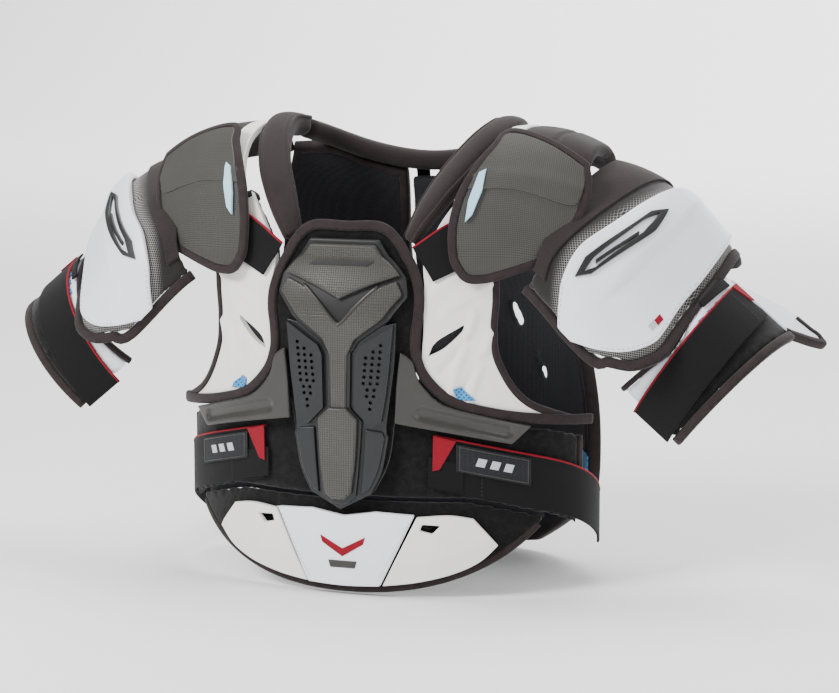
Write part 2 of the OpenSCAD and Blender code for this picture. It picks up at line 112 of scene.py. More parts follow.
def arch(x, v):
    """Over the shoulder, v millimetres of cloth back from its crest."""
    a = v / arch_mm
    over = np.radians(np.minimum(90, np.abs(a)))
    q = np.where(v < 0, chest_squareness, back_squareness)
    y = np.sign(v) * arch_half(x) * np.sin(over) ** q
    z = arch_top(x) - arch_drop * (1 - np.maximum(0, np.cos(over)) ** q) - (np.abs(a) - np.degrees(over))
    return np.stack([x + 0 * v, y, z], -1)


# The arm's own frame: down the arm, towards the front of the cap, and out of its crown
down = np.array(joints["arm_strap_peel_left"]["axis"])
down *= -np.sign(down[2])
front = np.array(joints["guard_flex_left"]["axis"])
out = np.cross(front, down)
# The sleeve's hinge is this far down the arm and out of its middle
hinge_down, hinge_out = 45, 56
arm_at = 1000 * np.array(joints["guard_flex_left"]["pos_m"]) - hinge_down * down - hinge_out * out
cap_half_w = 103
cap_depth = 74
cap_squareness = 0.77
cap_back_shift = -5
# Up the arm from the first of each pair the cap narrows and its crown sinks. Down the arm it curls in.
cap_narrow_from, cap_narrowing = -30, 0.0013
cap_sink_from, cap_sinking = -70, 0.006
cap_curl_from, cap_curl_run, cap_curl = -60, 110, 0.4
guard_r = mounts["arm_mouth_left"]["dims"]["r_mm"]
guard_centre = (-32, -14)
# The guard's rear edge flares out past this angle, over this many degrees
flare_from, flare_run, flare_out, flare_power = -37, 25, 18, 1.7


def arm(t, o, f):
    """A place t millimetres down the arm, o out of its crown and f towards its front."""
    return arm_at + t[..., None] * down + o[..., None] * out + f[..., None] * front


def cap(u, t):
    """Over the upper arm, u millimetres of cloth round from its crown and t down the arm."""
    a = np.radians(u / cap_mm)
    k = 1 - cap_narrowing * np.maximum(0, cap_narrow_from - t)
    curl = np.clip((t - cap_curl_from) / cap_curl_run, 0, 1)
    curl = 1 - cap_curl * curl * curl * (3 - 2 * curl)
    o = cap_depth * k * curl * np.maximum(0, np.cos(a)) ** cap_squareness
    f = cap_back_shift + cap_half_w * k * np.sign(a) * np.abs(np.sin(a)) ** cap_squareness
    o -= cap_sinking * np.maximum(0, cap_sink_from - t) ** 2
    return arm(t, o, f)


def guard(u, t):
    """Round the biceps, u millimetres of cloth round from the crown and t down the arm."""
    a = u / guard_mm
    r = guard_r + flare_out * np.clip((flare_from - a) / flare_run, 0, 1) ** flare_power
    a = np.radians(a)
    return arm(t, guard_centre[0] + r * np.cos(a), guard_centre[1] + r * np.sin(a))


def laid(surface, uv, h):
    """Points at height h, in millimetres, over a surface, and the surface's normals there."""
    u, v = np.asarray(uv, float).T
    h = np.broadcast_to(np.asarray(h, float), u.shape)
    step = 0.4
    eastward = surface(u + step, v) - surface(u - step, v)
    northward = surface(u, v + step) - surface(u, v - step)
    n = np.cross(eastward, northward)
    n /= np.maximum(1e-9, np.linalg.norm(n, axis=1, keepdims=True))
    if surface is back:
        n = -n
    return (surface(u, v) + h[:, None] * n) / 1000, n


def flat(points):
    """Corners given as x and height, as places on the cloth round the torso."""
    return [(half_w * math.asin(max(-1, min(1, p[0] / half_w))), *p[1:]) for p in points]


def turned(points):
    """Corners given as degrees and distance down the arm, as places on the cap's cloth."""
    return [(p[0] * cap_mm, *p[1:]) for p in points]


def round_arm(points):
    """Corners given as degrees and distance down the arm, as places on the guard's cloth."""
    return [(p[0] * guard_mm, *p[1:]) for p in points]


def bend(a, b, c, d, step):
    """Points from b up to c, about a step apart, on the curve through a, b, c and d."""
    count = max(1, int(np.linalg.norm(c - b) / step + 0.5))
    made = []
    for j in range(count):
        t = j / count
        made.append((2 * b + (c - a) * t + (2 * a - 5 * b + 4 * c - d) * t * t
                     + (3 * b - a - 3 * c + d) * t ** 3) / 2)
    return made


def smooth(points, step=4.0, closed=True):
    """A curve through the points. A point with a third value of 1 is a sharp corner."""
    n = len(points)
    p = [np.array(q[:2], float) for q in points]
    sharp = [len(q) > 2 and q[2] == 1 for q in points]
    made = []
    for i in range(n if closed else n - 1):
        b, c = p[i], p[(i + 1) % n]
        first = not closed and i == 0
        last = not closed and i == n - 2
        a = 2 * b - c if sharp[i] or first else p[i - 1]
        d = 2 * c - b if sharp[(i + 1) % n] or last else p[(i + 2) % n]
        made += bend(a, b, c, d, step)
    if not closed:
        made.append(p[-1])
    return [tuple(q) for q in made]


def between(first, second, step):
    """The outline of a band between two edges, with sharp corners. The second edge comes back."""
    ring = first + second
    corners = (0, len(first) - 1, len(first), len(ring) - 1)
    return smooth([(*p, 1) if k in corners else p for k, p in enumerate(ring)], step)


def both(half):
    """A closed outline from its right half, given from the top down."""
    return list(half) + [(-q[0], *q[1:]) for q in reversed(half) if q[0] > 1e-6]


def new_object(name, data):
    made = bpy.data.objects.new(name, data)
    bpy.context.scene.collection.objects.link(made)
    return made


def take(piece):
    """Makes a piece the only one selected."""
    bpy.ops.object.select_all(action="DESELECT")
    piece.select_set(True)
    bpy.context.view_layer.objects.active = piece


def finish_with(piece, kind, **settings):
    take(piece)
    modifier = piece.modifiers.new(kind.lower(), kind)
    for key, value in settings.items():
        setattr(modifier, key, value)
    bpy.ops.object.modifier_apply(modifier=modifier.name)


def corners_of(mesh):
    """The places of a mesh's vertices, one to a row."""
    co = np.empty(len(mesh.vertices) * 3)
    mesh.vertices.foreach_get("co", co)
    return co.reshape(-1, 3)


def face_out(piece):
    """Turns the faces of a closed piece outwards."""
    take(piece)
    bpy.ops.object.mode_set(mode="EDIT")
    bpy.ops.mesh.select_all(action="SELECT")
    bpy.ops.mesh.normals_make_consistent(inside=False)
    bpy.ops.object.mode_set(mode="OBJECT")


def chart_with(mesh, spots):
    """Makes flat places, in millimetres and one to a vertex, the UV map, in metres."""
    cut = mesh.uv_layers.new(name="cut")
    loops = np.empty(len(mesh.loops), np.int32)
    mesh.loops.foreach_get("vertex_index", loops)
    cut.data.foreach_set("uv", (spots[loops] / 1000).astype(np.float32).ravel())


def prism(name, outline, low, high):
    """A flat piece cut to an outline, standing from low to high."""
    mesh = bpy.data.meshes.new(name)
    area = sum(a[0] * b[1] - b[0] * a[1] for a, b in zip(outline, outline[1:] + outline[:1]))
    ring = outline if area > 0 else outline[::-1]
    mesh.from_pydata([(u, v, low) for u, v in ring], [], [list(range(len(ring)))])
    piece = new_object(name, mesh)
    take(piece)
    bpy.ops.object.mode_set(mode="EDIT")
    bpy.ops.mesh.select_all(action="SELECT")
    bpy.ops.mesh.extrude_region_move(TRANSFORM_OT_translate={"value": (0, 0, high - low)})
    bpy.ops.object.mode_set(mode="OBJECT")
    face_out(piece)
    return piece


def slab(name, surface, outline, low, high, edge=1.0, cell=8.0, holes=(), relief=None, segments=3):
    """A piece cut flat to an outline, its edges rounded, and laid on a surface from low to high."""
    piece = prism(name, outline, low, high)
    for hole in holes:
        cutter = prism("cutter", hole, low - 5, high + 5)
        finish_with(piece, "BOOLEAN", operation="DIFFERENCE", object=cutter, solver="EXACT")
        bpy.data.objects.remove(cutter)
    if edge:
        finish_with(piece, "BEVEL", width=edge, segments=segments, limit_method="ANGLE",
                    angle_limit=math.radians(50), use_clamp_overlap=True)
    u, v = np.array(outline).T
    take(piece)
    bpy.ops.object.mode_set(mode="EDIT")
    for axis, values in ((0, u), (1, v)):
        count = int((values.max() - values.min()) / cell)
        for k in range(1, count + 1):
            place = [0, 0, 0]
            way = [0, 0, 0]
            place[axis] = values.min() + (values.max() - values.min()) * k / (count + 1)
            way[axis] = 1
            bpy.ops.mesh.select_all(action="SELECT")
            bpy.ops.mesh.bisect(plane_co=place, plane_no=way, threshold=0.05)
    bpy.ops.object.mode_set(mode="OBJECT")
    return lay(piece, surface, relief, low, high)


def lay(piece, surface, relief=None, low=0.0, high=1.0):
    """Lays a flat piece on a surface. Its flat places, in metres, become its UV map."""
    mesh = piece.data
    co = corners_of(mesh)
    h = co[:, 2].copy()
    if relief is not None:
        h += np.clip((h - low) / max(1e-6, high - low), 0, 1) * relief(co[:, 0], co[:, 1])
    placed, _ = laid(surface, co[:, :2], h)
    # A face that still looks straight up is on the piece's front, and the others are its edges
    straight_up = 0.93
    for face in mesh.polygons:
        face.material_index = 0 if face.normal.z > straight_up else 1
    chart_with(mesh, co[:, :2])
    mesh.vertices.foreach_set("co", placed.ravel())
    mesh.update()
    face_out(piece)
    bpy.ops.object.shade_smooth()
    finish_with(piece, "WEIGHTED_NORMAL", weight=80, keep_sharp=False)
    return piece


def sweep(name, centres, normals, sides, profile, closed=True):
    """Sweeps a profile, given across the path and up, along it. Its UV map runs along and round it."""
    n, m = len(centres), len(profile)
    rings = (centres[:, None] + profile[None, :, :1] * sides[:, None]
             + profile[None, :, 1:] * normals[:, None])
    faces = [(i * m + k, i * m + (k + 1) % m, (i + 1) % n * m + (k + 1) % m, (i + 1) % n * m + k)
             for i in range(n if closed else n - 1) for k in range(m)]
    if not closed:
        faces += [tuple(range(m))[::-1], tuple(range((n - 1) * m, n * m))]
    mesh = bpy.data.meshes.new(name)
    mesh.from_pydata(rings.reshape(-1, 3).tolist(), [], faces)
    gaps = np.linalg.norm(np.roll(centres, -1, 0) - centres, axis=1)
    walked = np.concatenate([[0], np.cumsum(gaps)])
    run = mesh.uv_layers.new(name="cut")
    spots = []
    for i in range(n if closed else n - 1):
        for k in range(m):
            near, far, foot, head = walked[i], walked[i + 1], k / m, (k + 1) / m
            spots += [near, foot, near, head, far, head, far, foot]
    if not closed:
        spots += [0.0, 0.0] * (2 * m)
    run.data.foreach_set("uv", spots)
    piece = new_object(name, mesh)
    face_out(piece)
    bpy.ops.object.shade_smooth()
    return piece


def oval(across, up, sides=14, square=1.0, at=(0, 0)):
    """A profile across and up from its middle, in millimetres. A square below 1 fills its corners."""
    a = np.arange(sides) * 2 * math.pi / sides
    c, s = np.cos(a), np.sin(a)
    return np.stack([at[0] + across * np.sign(c) * np.abs(c) ** square,
                     at[1] + up * np.sign(s) * np.abs(s) ** square], -1) / 1000


def tape(name, surface, path, low, high, cover=8.0, proud=1.5, closed=True, sides=14, square=0.55):
    """Edge binding: a folded tape that covers an edge by cover and stands proud of it, from low to high."""
    pts = np.array(path, float)
    if closed:
        x, y = pts.T
        if np.sum(x * np.roll(y, -1) - np.roll(x, -1) * y) < 0:
            pts = pts[::-1]
    centres, normals = laid(surface, pts, 0)
    ahead = np.roll(centres, -1, 0) - np.roll(centres, 1, 0)
    if not closed:
        ahead[0] = centres[1] - centres[0]
        ahead[-1] = centres[-1] - centres[-2]
    ahead /= np.linalg.norm(ahead, axis=1, keepdims=True)
    outward = np.cross(ahead, normals)
    if surface is back:
        outward = -outward
    middle = ((proud - cover) / 2, (low + high) / 2)
    profile = oval((cover + proud) / 2, (high - low) / 2, sides, square, middle)
    return sweep(name, centres, normals, outward, profile, closed)


def other_side(piece, name):
    """The right side's piece is the left side's, mirrored, with a mesh of its own."""
    mesh = piece.data.copy()
    mesh.name = name
    twin = new_object(name, mesh)
    co = corners_of(mesh)
    co[:, 0] *= -1
    mesh.vertices.foreach_set("co", co.ravel())
    mesh.flip_normals()
    mesh.update()
    if mesh.has_custom_normals:
        take(twin)
        bpy.ops.mesh.customdata_custom_splitnormals_clear()
        finish_with(twin, "WEIGHTED_NORMAL", weight=80, keep_sharp=False)
    return twin


def goes_on(piece, body, *nodes, slot=None, fill=None):
    """Fixes a piece to its body and hides the frame nodes it stands for."""
    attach(piece, body)
    if nodes:
        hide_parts(*nodes)
    return piece


def paint(piece, material, edges=None):
    """Paints a piece, and its edges in another material if one is given."""
    piece.data.materials.append(material)
    piece.data.materials.append(edges or material)
    return piece


def pair(piece, body, *nodes, slot=None, fill=None):
    """Fixes a left piece and its mirror image. Names and bodies that end in _left have a _right."""
    twin = other_side(piece, piece.name.replace("_left", "_right"))
    goes_on(piece, body, *nodes, slot=slot, fill=fill)
    goes_on(twin, body.replace("_left", "_right"), *[n.replace("_left", "_right") for n in nodes],
            slot=slot, fill=fill)
    return piece, twin


def swell(piece, voxel, limit, pressure=4.0):
    """Foam in a sewn cover: the cover is blown up by a cloth simulation and its movement is limited."""
    finish_with(piece, "REMESH", mode="VOXEL", voxel_size=voxel)
    mesh = piece.data
    rest = corners_of(mesh)
    cloth = piece.modifiers.new("cloth", "CLOTH")
    cloth.settings.use_pressure = True
    cloth.settings.uniform_pressure_force = pressure
    cloth.settings.effector_weights.gravity = 0
    for step in range(1, 15):
        bpy.context.scene.frame_set(step)
    blown = piece.evaluated_get(bpy.context.evaluated_depsgraph_get()).data
    way = corners_of(blown) - rest
    far = np.maximum(1e-9, np.linalg.norm(way, axis=1, keepdims=True))
    rest = rest + way / far * np.minimum(far, limit)
    piece.modifiers.remove(cloth)
    bpy.context.scene.frame_set(1)
    mesh.vertices.foreach_set("co", rest.ravel())
    mesh.update()
    finish_with(piece, "SMOOTH", factor=0.5, iterations=2)
    finish_with(piece, "SUBSURF", levels=1, render_levels=1)
    take(piece)
    bpy.ops.object.shade_smooth()
    return piece


def press(piece, surface, path, height, width, depth):
    """Presses a sewn channel into a pad along a path on its surface."""
    line, normals = laid(surface, path, height)
    mesh = piece.data
    co = corners_of(mesh)
    a, b = line[:-1], line[1:]
    best = np.full(len(co), 1e9)
    way = np.zeros_like(co)
    for k in range(len(a)):
        ab = b[k] - a[k]
        t = np.clip(((co - a[k]) @ ab) / (ab @ ab), 0, 1)
        d = np.linalg.norm(co - (a[k] + t[:, None] * ab), axis=1)
        closer = d < best
        best[closer] = d[closer]
        way[closer] = normals[k]
    share = np.clip(1 - best / (width / 1000), 0, 1)
    co -= way * (depth / 1000 * share * share * (3 - 2 * share))[:, None]
    mesh.vertices.foreach_set("co", co.ravel())
    mesh.update()


def linear(colour):
    """A colour's hex code as the linear values that shaders take."""
    parts = [int(colour[i:i + 2], 16) / 255 for i in (1, 3, 5)]
    return tuple(c / 12.92 if c <= 0.04045 else ((c + 0.055) / 1.055) ** 2.4 for c in parts) + (1.0,)


def add(tree, kind, inputs=None, **settings):
    """Adds a node: its settings by name, and its sockets by name or number, set or linked."""
    node = tree.nodes.new("ShaderNode" + kind)
    for key, value in settings.items():
        setattr(node, key, value)
    for key, value in (inputs or {}).items():
        if isinstance(value, bpy.types.NodeSocket):
            tree.links.new(value, node.inputs[key])
        else:
            node.inputs[key].default_value = value
    return node.outputs


def finish(name, colour, roughness, **sockets):
    """A new material: its node tree and its shader, with plain values on the shader's own sockets."""
    material = bpy.data.materials.new(name)
    material.use_nodes = True
    tree = material.node_tree
    shader = tree.nodes["Principled BSDF"]
    shader.inputs["Base Color"].default_value = linear(colour)
    shader.inputs["Roughness"].default_value = roughness
    for key, value in sockets.items():
        shader.inputs[key.replace("_", " ")].default_value = value
    return material, tree, shader


def textile(name, colour, roughness, sheen=0.1):
    """A cloth's material: hardly any shine, with a faint sheen."""
    return finish(name, colour, roughness, Specular_IOR_Level=0.12, Sheen_Weight=sheen)


def maths(tree, kind, *values):
    return add(tree, "Math", dict(enumerate(values)), operation=kind)["Value"]


def noise(tree, place, scale, detail=2.0):
    return add(tree, "TexNoise", {"Vector": place, "Scale": scale, "Detail": detail})["Fac"]


def ranged(tree, value, **ends):
    """A value mapped between ends that are given as From_Min, From_Max, To_Min and To_Max."""
    ends = {key.replace("_", " "): end for key, end in ends.items()}
    return add(tree, "MapRange", {"Value": value, **ends})["Result"]


def blend(tree, share, first, second):
    """A colour from the first at share 0 to the second at share 1, each a hex code or a socket."""
    first, second = [linear(c) if isinstance(c, str) else c for c in (first, second)]
    return add(tree, "Mix", {0: share, 6: first, 7: second}, data_type="RGBA")[2]


def dress(tree, shader, colour, height, strength, depth):
    """Gives a shader its colour, if there is one, and a bump where a height of 1 is a depth in metres."""
    if colour is not None:
        tree.links.new(colour, shader.inputs["Base Color"])
    bump = add(tree, "Bump", {"Height": height, "Strength": strength, "Distance": depth})
    tree.links.new(bump["Normal"], shader.inputs["Normal"])


def chart(piece, surface, outline, height):
    """Gives a piece that lost its UV map in the remesh its flat places again, from the surface it lies on."""
    u, v = np.array(outline).T
    margin, pitch = 8, 4
    us, vs = np.meshgrid(np.arange(u.min() - margin, u.max() + margin, pitch),
                         np.arange(v.min() - margin, v.max() + margin, pitch))
    spots = np.stack([us.ravel(), vs.ravel()], -1)
    at, _ = laid(surface, spots, height)
    east = laid(surface, spots + (1, 0), height)[0] - at
    north = laid(surface, spots + (0, 1), height)[0] - at
    tree = KDTree(len(at))
    for i, p in enumerate(at):
        tree.insert(p, i)
    tree.balance()
    mesh = piece.data
    flat_at = np.empty((len(mesh.vertices), 2))
    for i, vertex in enumerate(mesh.vertices):
        _, k, _ = tree.find(vertex.co)
        gap = np.array(vertex.co) - at[k]
        flat_at[i] = spots[k] + (gap @ east[k] / (east[k] @ east[k]), gap @ north[k] / (north[k] @ north[k]))
    chart_with(mesh, flat_at)
    return flat_at


def slot_outline(u, v, length, width, turn):
    """A slot with round ends."""
    a = np.radians(np.arange(-90, 91, 30))
    r = width / 2
    right = [(length / 2 - r + r * math.cos(t), r * math.sin(t)) for t in a]
    ring = right + [(-p[0], -p[1]) for p in right]
    c, s = math.cos(math.radians(turn)), math.sin(math.radians(turn))
    return [(u + p[0] * c - p[1] * s, v + p[0] * s + p[1] * c) for p in ring]


# ---- Materials that many pieces share ----

# Polyester spacer mesh: a knitted lining with a small open cell, matt black with a faint sheen
lining, tree, shader = textile("polyester_spacer_mesh", "#17171a", 0.8)
place = add(tree, "TexCoord")["Object"]
# The cells are 2.2 mm apart
cells = add(tree, "TexVoronoi", {"Vector": place, "Scale": 450.0, "Randomness": 0.35})["Distance"]
holes = ranged(tree, cells, From_Min=0.15, From_Max=0.5, To_Min=0.45, To_Max=1.0)
dress(tree, shader, blend(tree, holes, "#08080a", "#26262a"), cells, 0.5, 0.0005)

# Brushed polyester knit, dark brown: soft, almost no shine, with a slight unevenness of dye
fabric, tree, shader = textile("brushed_polyester_knit", "#261f20", 0.88)
place = add(tree, "TexCoord")["Object"]
# A knit's loops are 0.9 mm apart, drawn at 1.2 mm so that they show
knit_loops = {"Scale": 830.0, "Randomness": 0.6}
knit = add(tree, "TexVoronoi", {"Vector": place, **knit_loops})["Distance"]
dye = maths(tree, "MULTIPLY", knit, noise(tree, place, 45.0, 4.0))
dress(tree, shader, blend(tree, dye, "#2f2829", "#1b1617"), knit, 0.45, 0.0004)

# Edge binding: folded polyester tape, dark brown, with a ribbed weave across it and a zigzag of thread
binding, tree, shader = textile("ribbed_binding_tape", "#2a2324", 0.78)
split = add(tree, "SeparateXYZ", {"Vector": add(tree, "UVMap", uv_map="cut")["UV"]})
# One rib to 1.1 mm of tape. Each leg of the zigzag is 4 mm long, and it starts a third of the way round.
rib = maths(tree, "SINE", maths(tree, "MULTIPLY", split["X"], 5700.0))
zig = maths(tree, "MULTIPLY", maths(tree, "PINGPONG", split["X"], 0.004), 18.0)
off = maths(tree, "ABSOLUTE", maths(tree, "SUBTRACT", maths(tree, "SUBTRACT", split["Y"], 0.335), zig))
zigzag = ranged(tree, off, From_Min=0.008, From_Max=0.022, To_Min=1.0, To_Max=0.0)
tint = blend(tree, noise(tree, add(tree, "TexCoord")["Object"], 120.0, 3.0), "#332a2c", "#1f191a")
high = maths(tree, "ADD", maths(tree, "MULTIPLY", zigzag, -2.5), rib)
dress(tree, shader, blend(tree, zigzag, tint, "#120d0e"), high, 0.35, 0.0002)

# Loop pile for hook-and-loop: black and fuzzy, with clumps of loops that are coloured lighter as a painted
# highlight, as if they catch the light
pile, tree, shader = textile("brushed_loop_pile", "#0c0c0c", 0.95, 0.18)
place = add(tree, "TexCoord")["Object"]
tufts = add(tree, "TexNoise", {"Vector": place, "Scale": 700.0, "Detail": 3.0, "Roughness": 0.7})["Fac"]
clumps = maths(tree, "MULTIPLY", tufts, noise(tree, place, 160.0, 4.0))
# Painted highlight: where the clumps stand, the pile's colour is lighter
shade = ranged(tree, clumps, From_Min=0.15, From_Max=0.42)
dress(tree, shader, blend(tree, shade, "#050505", "#171616"), clumps, 0.7, 0.001)

# Woven elastic: black, with cords that run along it and a fine pick across, a little shinier than the pile
elastic, tree, shader = textile("woven_elastic", "#0d0d0d", 0.72, 0.06)
split = add(tree, "SeparateXYZ", {"Vector": add(tree, "UVMap", uv_map="cut")["UV"]})
# The picks are 1.3 mm apart and the cords 1.8 mm
pick = maths(tree, "SINE", maths(tree, "MULTIPLY", split["X"], 4833.0))
cords = maths(tree, "SINE", maths(tree, "MULTIPLY", split["Y"], 3490.0))
weave = maths(tree, "MULTIPLY", pick, cords)
shade = ranged(tree, weave, From_Min=-1.0, From_Max=1.0)
high = maths(tree, "ADD", weave, noise(tree, add(tree, "TexCoord")["Object"], 900.0))
dress(tree, shader, blend(tree, shade, "#070707", "#141415"), high, 0.4, 0.0002)

# Red elastic edging, woven into the straps: satin, with a fine uneven grain
red, tree, shader = finish("red_woven_edging", "#8e0d22", 0.6, Specular_IOR_Level=0.15, Sheen_Weight=0.05)
grain = noise(tree, add(tree, "TexCoord")["Object"], 600.0)
dress(tree, shader, blend(tree, grain, "#8f0f24", "#6a0717"), grain, 0.4, 0.0003)


def moulded_foam(name, light, shade_of, roughness, grain_mm):
    """EVA foam moulded under a polyurethane film: satin, finely grained and a little uneven in tone."""
    material, tree, shader = finish(name, light, roughness, Coat_Weight=0.12, Coat_Roughness=0.35,
                                    Subsurface_Weight=0.06, Subsurface_Scale=0.004)
    place = add(tree, "TexCoord")["Object"]
    cloud = noise(tree, place, 22.0, 3.0)
    wear = ranged(tree, cloud, From_Min=0.3, From_Max=0.7, To_Min=roughness - 0.05, To_Max=roughness + 0.07)
    tree.links.new(wear, shader.inputs["Roughness"])
    grain = noise(tree, place, 1000.0 / grain_mm, 3.0)
    dress(tree, shader, blend(tree, cloud, light, shade_of), grain, 0.22, 0.00012)
    return material


chest_white = moulded_foam("moulded_foam_warm_white", "#efeee9", "#e4e2db", 0.44, 0.6)
cap_white = moulded_foam("moulded_foam_cool_white", "#f1f3fa", "#e6e9f3", 0.34, 0.5)


# ---- Back pads ----
# Two foam pads in spacer mesh, sewn to a spine pad. They are moulded with channels, and slots let heat out.
back_outline = smooth(flat([(27, -35, 1), (66, -25), (96, -12), (138, -12, 1), (153, -60),
                            (154, -118), (159, -172),
                            (182, -226), (194, -290), (188, -344), (151, -385), (117, -410, 1), (66, -418),
                            (27, -418, 1)]))
vents = [(92, -178, 30, 60), (122, -228, 34, 60), (72, -120, 26, 70)]
back_pad = slab("back_pad_left", back, back_outline, 1, 11, edge=3, cell=16,
                holes=[slot_outline(*flat([v[:2]])[0], v[2], 9, 180 - v[3]) for v in vents])
swell(back_pad, 0.004, 0.0016)
for channel in ([(60, -60), (64, -150), (58, -235), (76, -330), (70, -405)],
                [(100, -50), (112, -120), (106, -190), (150, -262), (150, -372)],
                [(30, -150), (56, -172), (58, -200)], [(30, -262), (70, -282), (140, -300), (186, -300)]):
    press(back_pad, back, smooth(flat(channel), 6, False), 12, 6, 2.6)
paint(back_pad, lining)
pair(back_pad, "vest", "back_pad_left", slot="lining", fill=0.55)

# Its edge is bound with folded tape all round
edge = tape("back_binding_left", back, back_outline, -0.6, 12.8)
pair(paint(edge, binding), "vest", slot="outer_fabric")

# The blue patch inside the left and right side is a perforated knit, sewn flat to the lining
blue, tree, shader = finish("perforated_blue_knit", "#1d7ab8", 0.65, Sheen_Weight=0.3)
run = add(tree, "UVMap", uv_map="cut")["UV"]
# Holes of 1.6 mm stand 3.4 mm apart
pitch = (294, 294, 294)
grid = add(tree, "Mapping", {"Vector": run, "Rotation": (0, 0, math.radians(45)), "Scale": pitch})["Vector"]
grid = add(tree, "VectorMath", {0: grid}, operation="FRACTION")["Vector"]
grid = add(tree, "VectorMath", {0: grid, 1: (0.5, 0.5, 0)}, operation="DISTANCE")["Value"]
hole = ranged(tree, grid, From_Min=0.2, From_Max=0.28)
dress(tree, shader, blend(tree, hole, "#0b2a40", "#2585c4"), hole, 0.6, 0.0006)
patch_edge = smooth(flat([(164, -300, 1), (194, -306, 1), (192, -338, 1), (172, -344, 1)]))
patch = slab("blue_patch_left", back, patch_edge, -1.4, 0.2, edge=0.4, cell=8)
pair(paint(patch, blue), "vest", slot="patch")

# ---- Spine pad ----
# A narrow foam pad between the two, stitched into ribs so that it bends.
spine = slab("spine_pad", back, smooth(both([(0, -39), (22, -40, 1), (23, -120), (23, -290), (22, -414, 1),
                                              (0, -419)])), 1, 11.5, edge=3, cell=14)
swell(spine, 0.004, 0.0016)
for k in range(14):
    z = -62 - 26 * k
    press(spine, back, [(-24, z), (0, z), (24, z)], 12.5, 5, 2.4)
goes_on(paint(spine, lining), "vest", "spine_pad", slot="lining", fill=0.5)

# Two woven webbings tie the spine pad to the collar
for side, name in ((1, "webbing_left"), (-1, "webbing_right")):
    webbing = slab(name, back, [(side * 12 + a, b) for a, b in ((-7, -34), (-7, -96), (7, -96), (7, -34))],
                   13.3, 15.5, edge=0.6, cell=5)
    goes_on(paint(webbing, elastic), "vest", slot="elastic")
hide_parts("neck_webbing")

# ---- Shoulder arches ----
# The fabric saddle over each shoulder, foam under brown knit, with one seam over it from front to back.
saddle_outline = smooth([(139, -54 * arch_mm, 1), (175, -53 * arch_mm), (209, -52 * arch_mm, 1),
                         (211, -25 * arch_mm),
                         (211, 0), (211, 25 * arch_mm), (209, 50 * arch_mm, 1), (175, 52 * arch_mm),
                         (139, 54 * arch_mm, 1), (139, 0)], 6)
saddle = slab("shoulder_arch_left", arch, saddle_outline, 1, 12.5, edge=3.5, cell=12)
swell(saddle, 0.004, 0.002)
press(saddle, arch, [(176, v) for v in range(-100, 101, 8)], 13, 5, 2.2)
pair(paint(saddle, fabric), "vest", "shoulder_arch_left", slot="outer_fabric", fill=0.6)

# ---- Collar ----
# A soft padded roll round the neck, in brown knit, with a piped seam on each side.
collar_w, collar_t = 31, 24
collar_front = [(60, -116, -84), (74, -104, -56), (92, -80, -24), (108, -42, 4), (117, 0, 18), (115, 34, 16)]
collar_rear = [(113, 44, 13), (98, 76, 3), (66, 98, -11), (34, 107, -19), (0, 109, -22)]


def curve(points, step=6.0):
    """An open curve through points in space, in millimetres."""
    p = [np.array(q, float) for q in points]
    made = []
    for i in range(len(p) - 1):
        b, c = p[i], p[i + 1]
        a = p[i - 1] if i else 2 * b - c
        d = p[i + 2] if i + 2 < len(p) else 2 * c - b
        made += bend(a, b, c, d, step)
    return np.array(made + [p[-1]])


def frames(line):
    """The sideways and upward directions of a roll along a line."""
    ahead = np.gradient(line, axis=0)
    ahead /= np.linalg.norm(ahead, axis=1, keepdims=True)
    across = np.cross(ahead, (0, 0, 1))
    across /= np.linalg.norm(across, axis=1, keepdims=True)
    return across, np.cross(across, ahead)


def gathered(count):
    """How much of its size a roll has at each of its points: its first third is gathered in at the start."""
    share = np.clip(np.arange(count) / (count - 1) / 0.35, 0, 1)
    return 0.55 + 0.45 * np.sin(share * math.pi / 2)


def roll(name, points, width, thickness, gather=False):
    """A padded roll along a line, which may be gathered into the next piece at its start."""
    line = curve(points) / 1000
    across, up = frames(line)
    sides = 20
    piece = sweep(name, line, up, across, oval(width / 2, thickness / 2, sides, 0.85), closed=False)
    if gather:
        co = corners_of(piece.data).reshape(len(line), sides, 3)
        co = line[:, None] + (co - line[:, None]) * gathered(len(line))[:, None, None]
        piece.data.vertices.foreach_set("co", co.ravel())
    finish_with(piece, "SUBSURF", levels=1, render_levels=1)
    return piece


collar = roll("collar_left", collar_front, collar_w, collar_t, gather=True)
pair(paint(collar, fabric), "vest", "collar_left", slot="outer_fabric", fill=0.75)
rear = collar_rear + [(-x, y, z) for x, y, z in collar_rear[-2::-1]]
nape = roll("collar_back", rear, 27, 20.5)
goes_on(paint(nape, fabric), "vest", "collar_back", slot="outer_fabric", fill=0.75)
# Each seam runs along the roll at a share of its width to the side and of its thickness up
for name, side_at, tall in (("collar_seam_left", 0.47, 0.1), ("collar_piping_left", -0.4, 0.32)):
    line = curve(collar_front) / 1000
    across, up = frames(line)
    size = gathered(len(line))[:, None]
    line = line + across * size * (collar_w / 1000) * side_at + up * size * (collar_t / 1000) * tall
    piping = sweep(name, line, up, across, oval(2.2, 2.2, 10), closed=False)
    pair(paint(piping, binding), "vest", slot="outer_fabric")

# ---- Chest pads ----
# A moulded white foam panel on a foam lining. Ribs and hollows are pressed into it, and one tape binds both.
chest_outline = smooth(flat([(104, -46, 1), (87, -70), (74, -99), (75, -130), (75, -165), (74, -197),
                             (83, -219),
                             (102, -236), (146, -248), (192, -256, 1), (160, -234), (139, -197), (135, -163),
                             (138, -130), (139, -99), (130, -75), (115, -52, 1)]))
lining_pad = slab("chest_lining_left", chest, chest_outline, 0.5, 8, edge=2.5, cell=14)
swell(lining_pad, 0.004, 0.0008)
paint(lining_pad, lining)
pair(lining_pad, "vest", "chest_liner_left", slot="lining", fill=0.4)


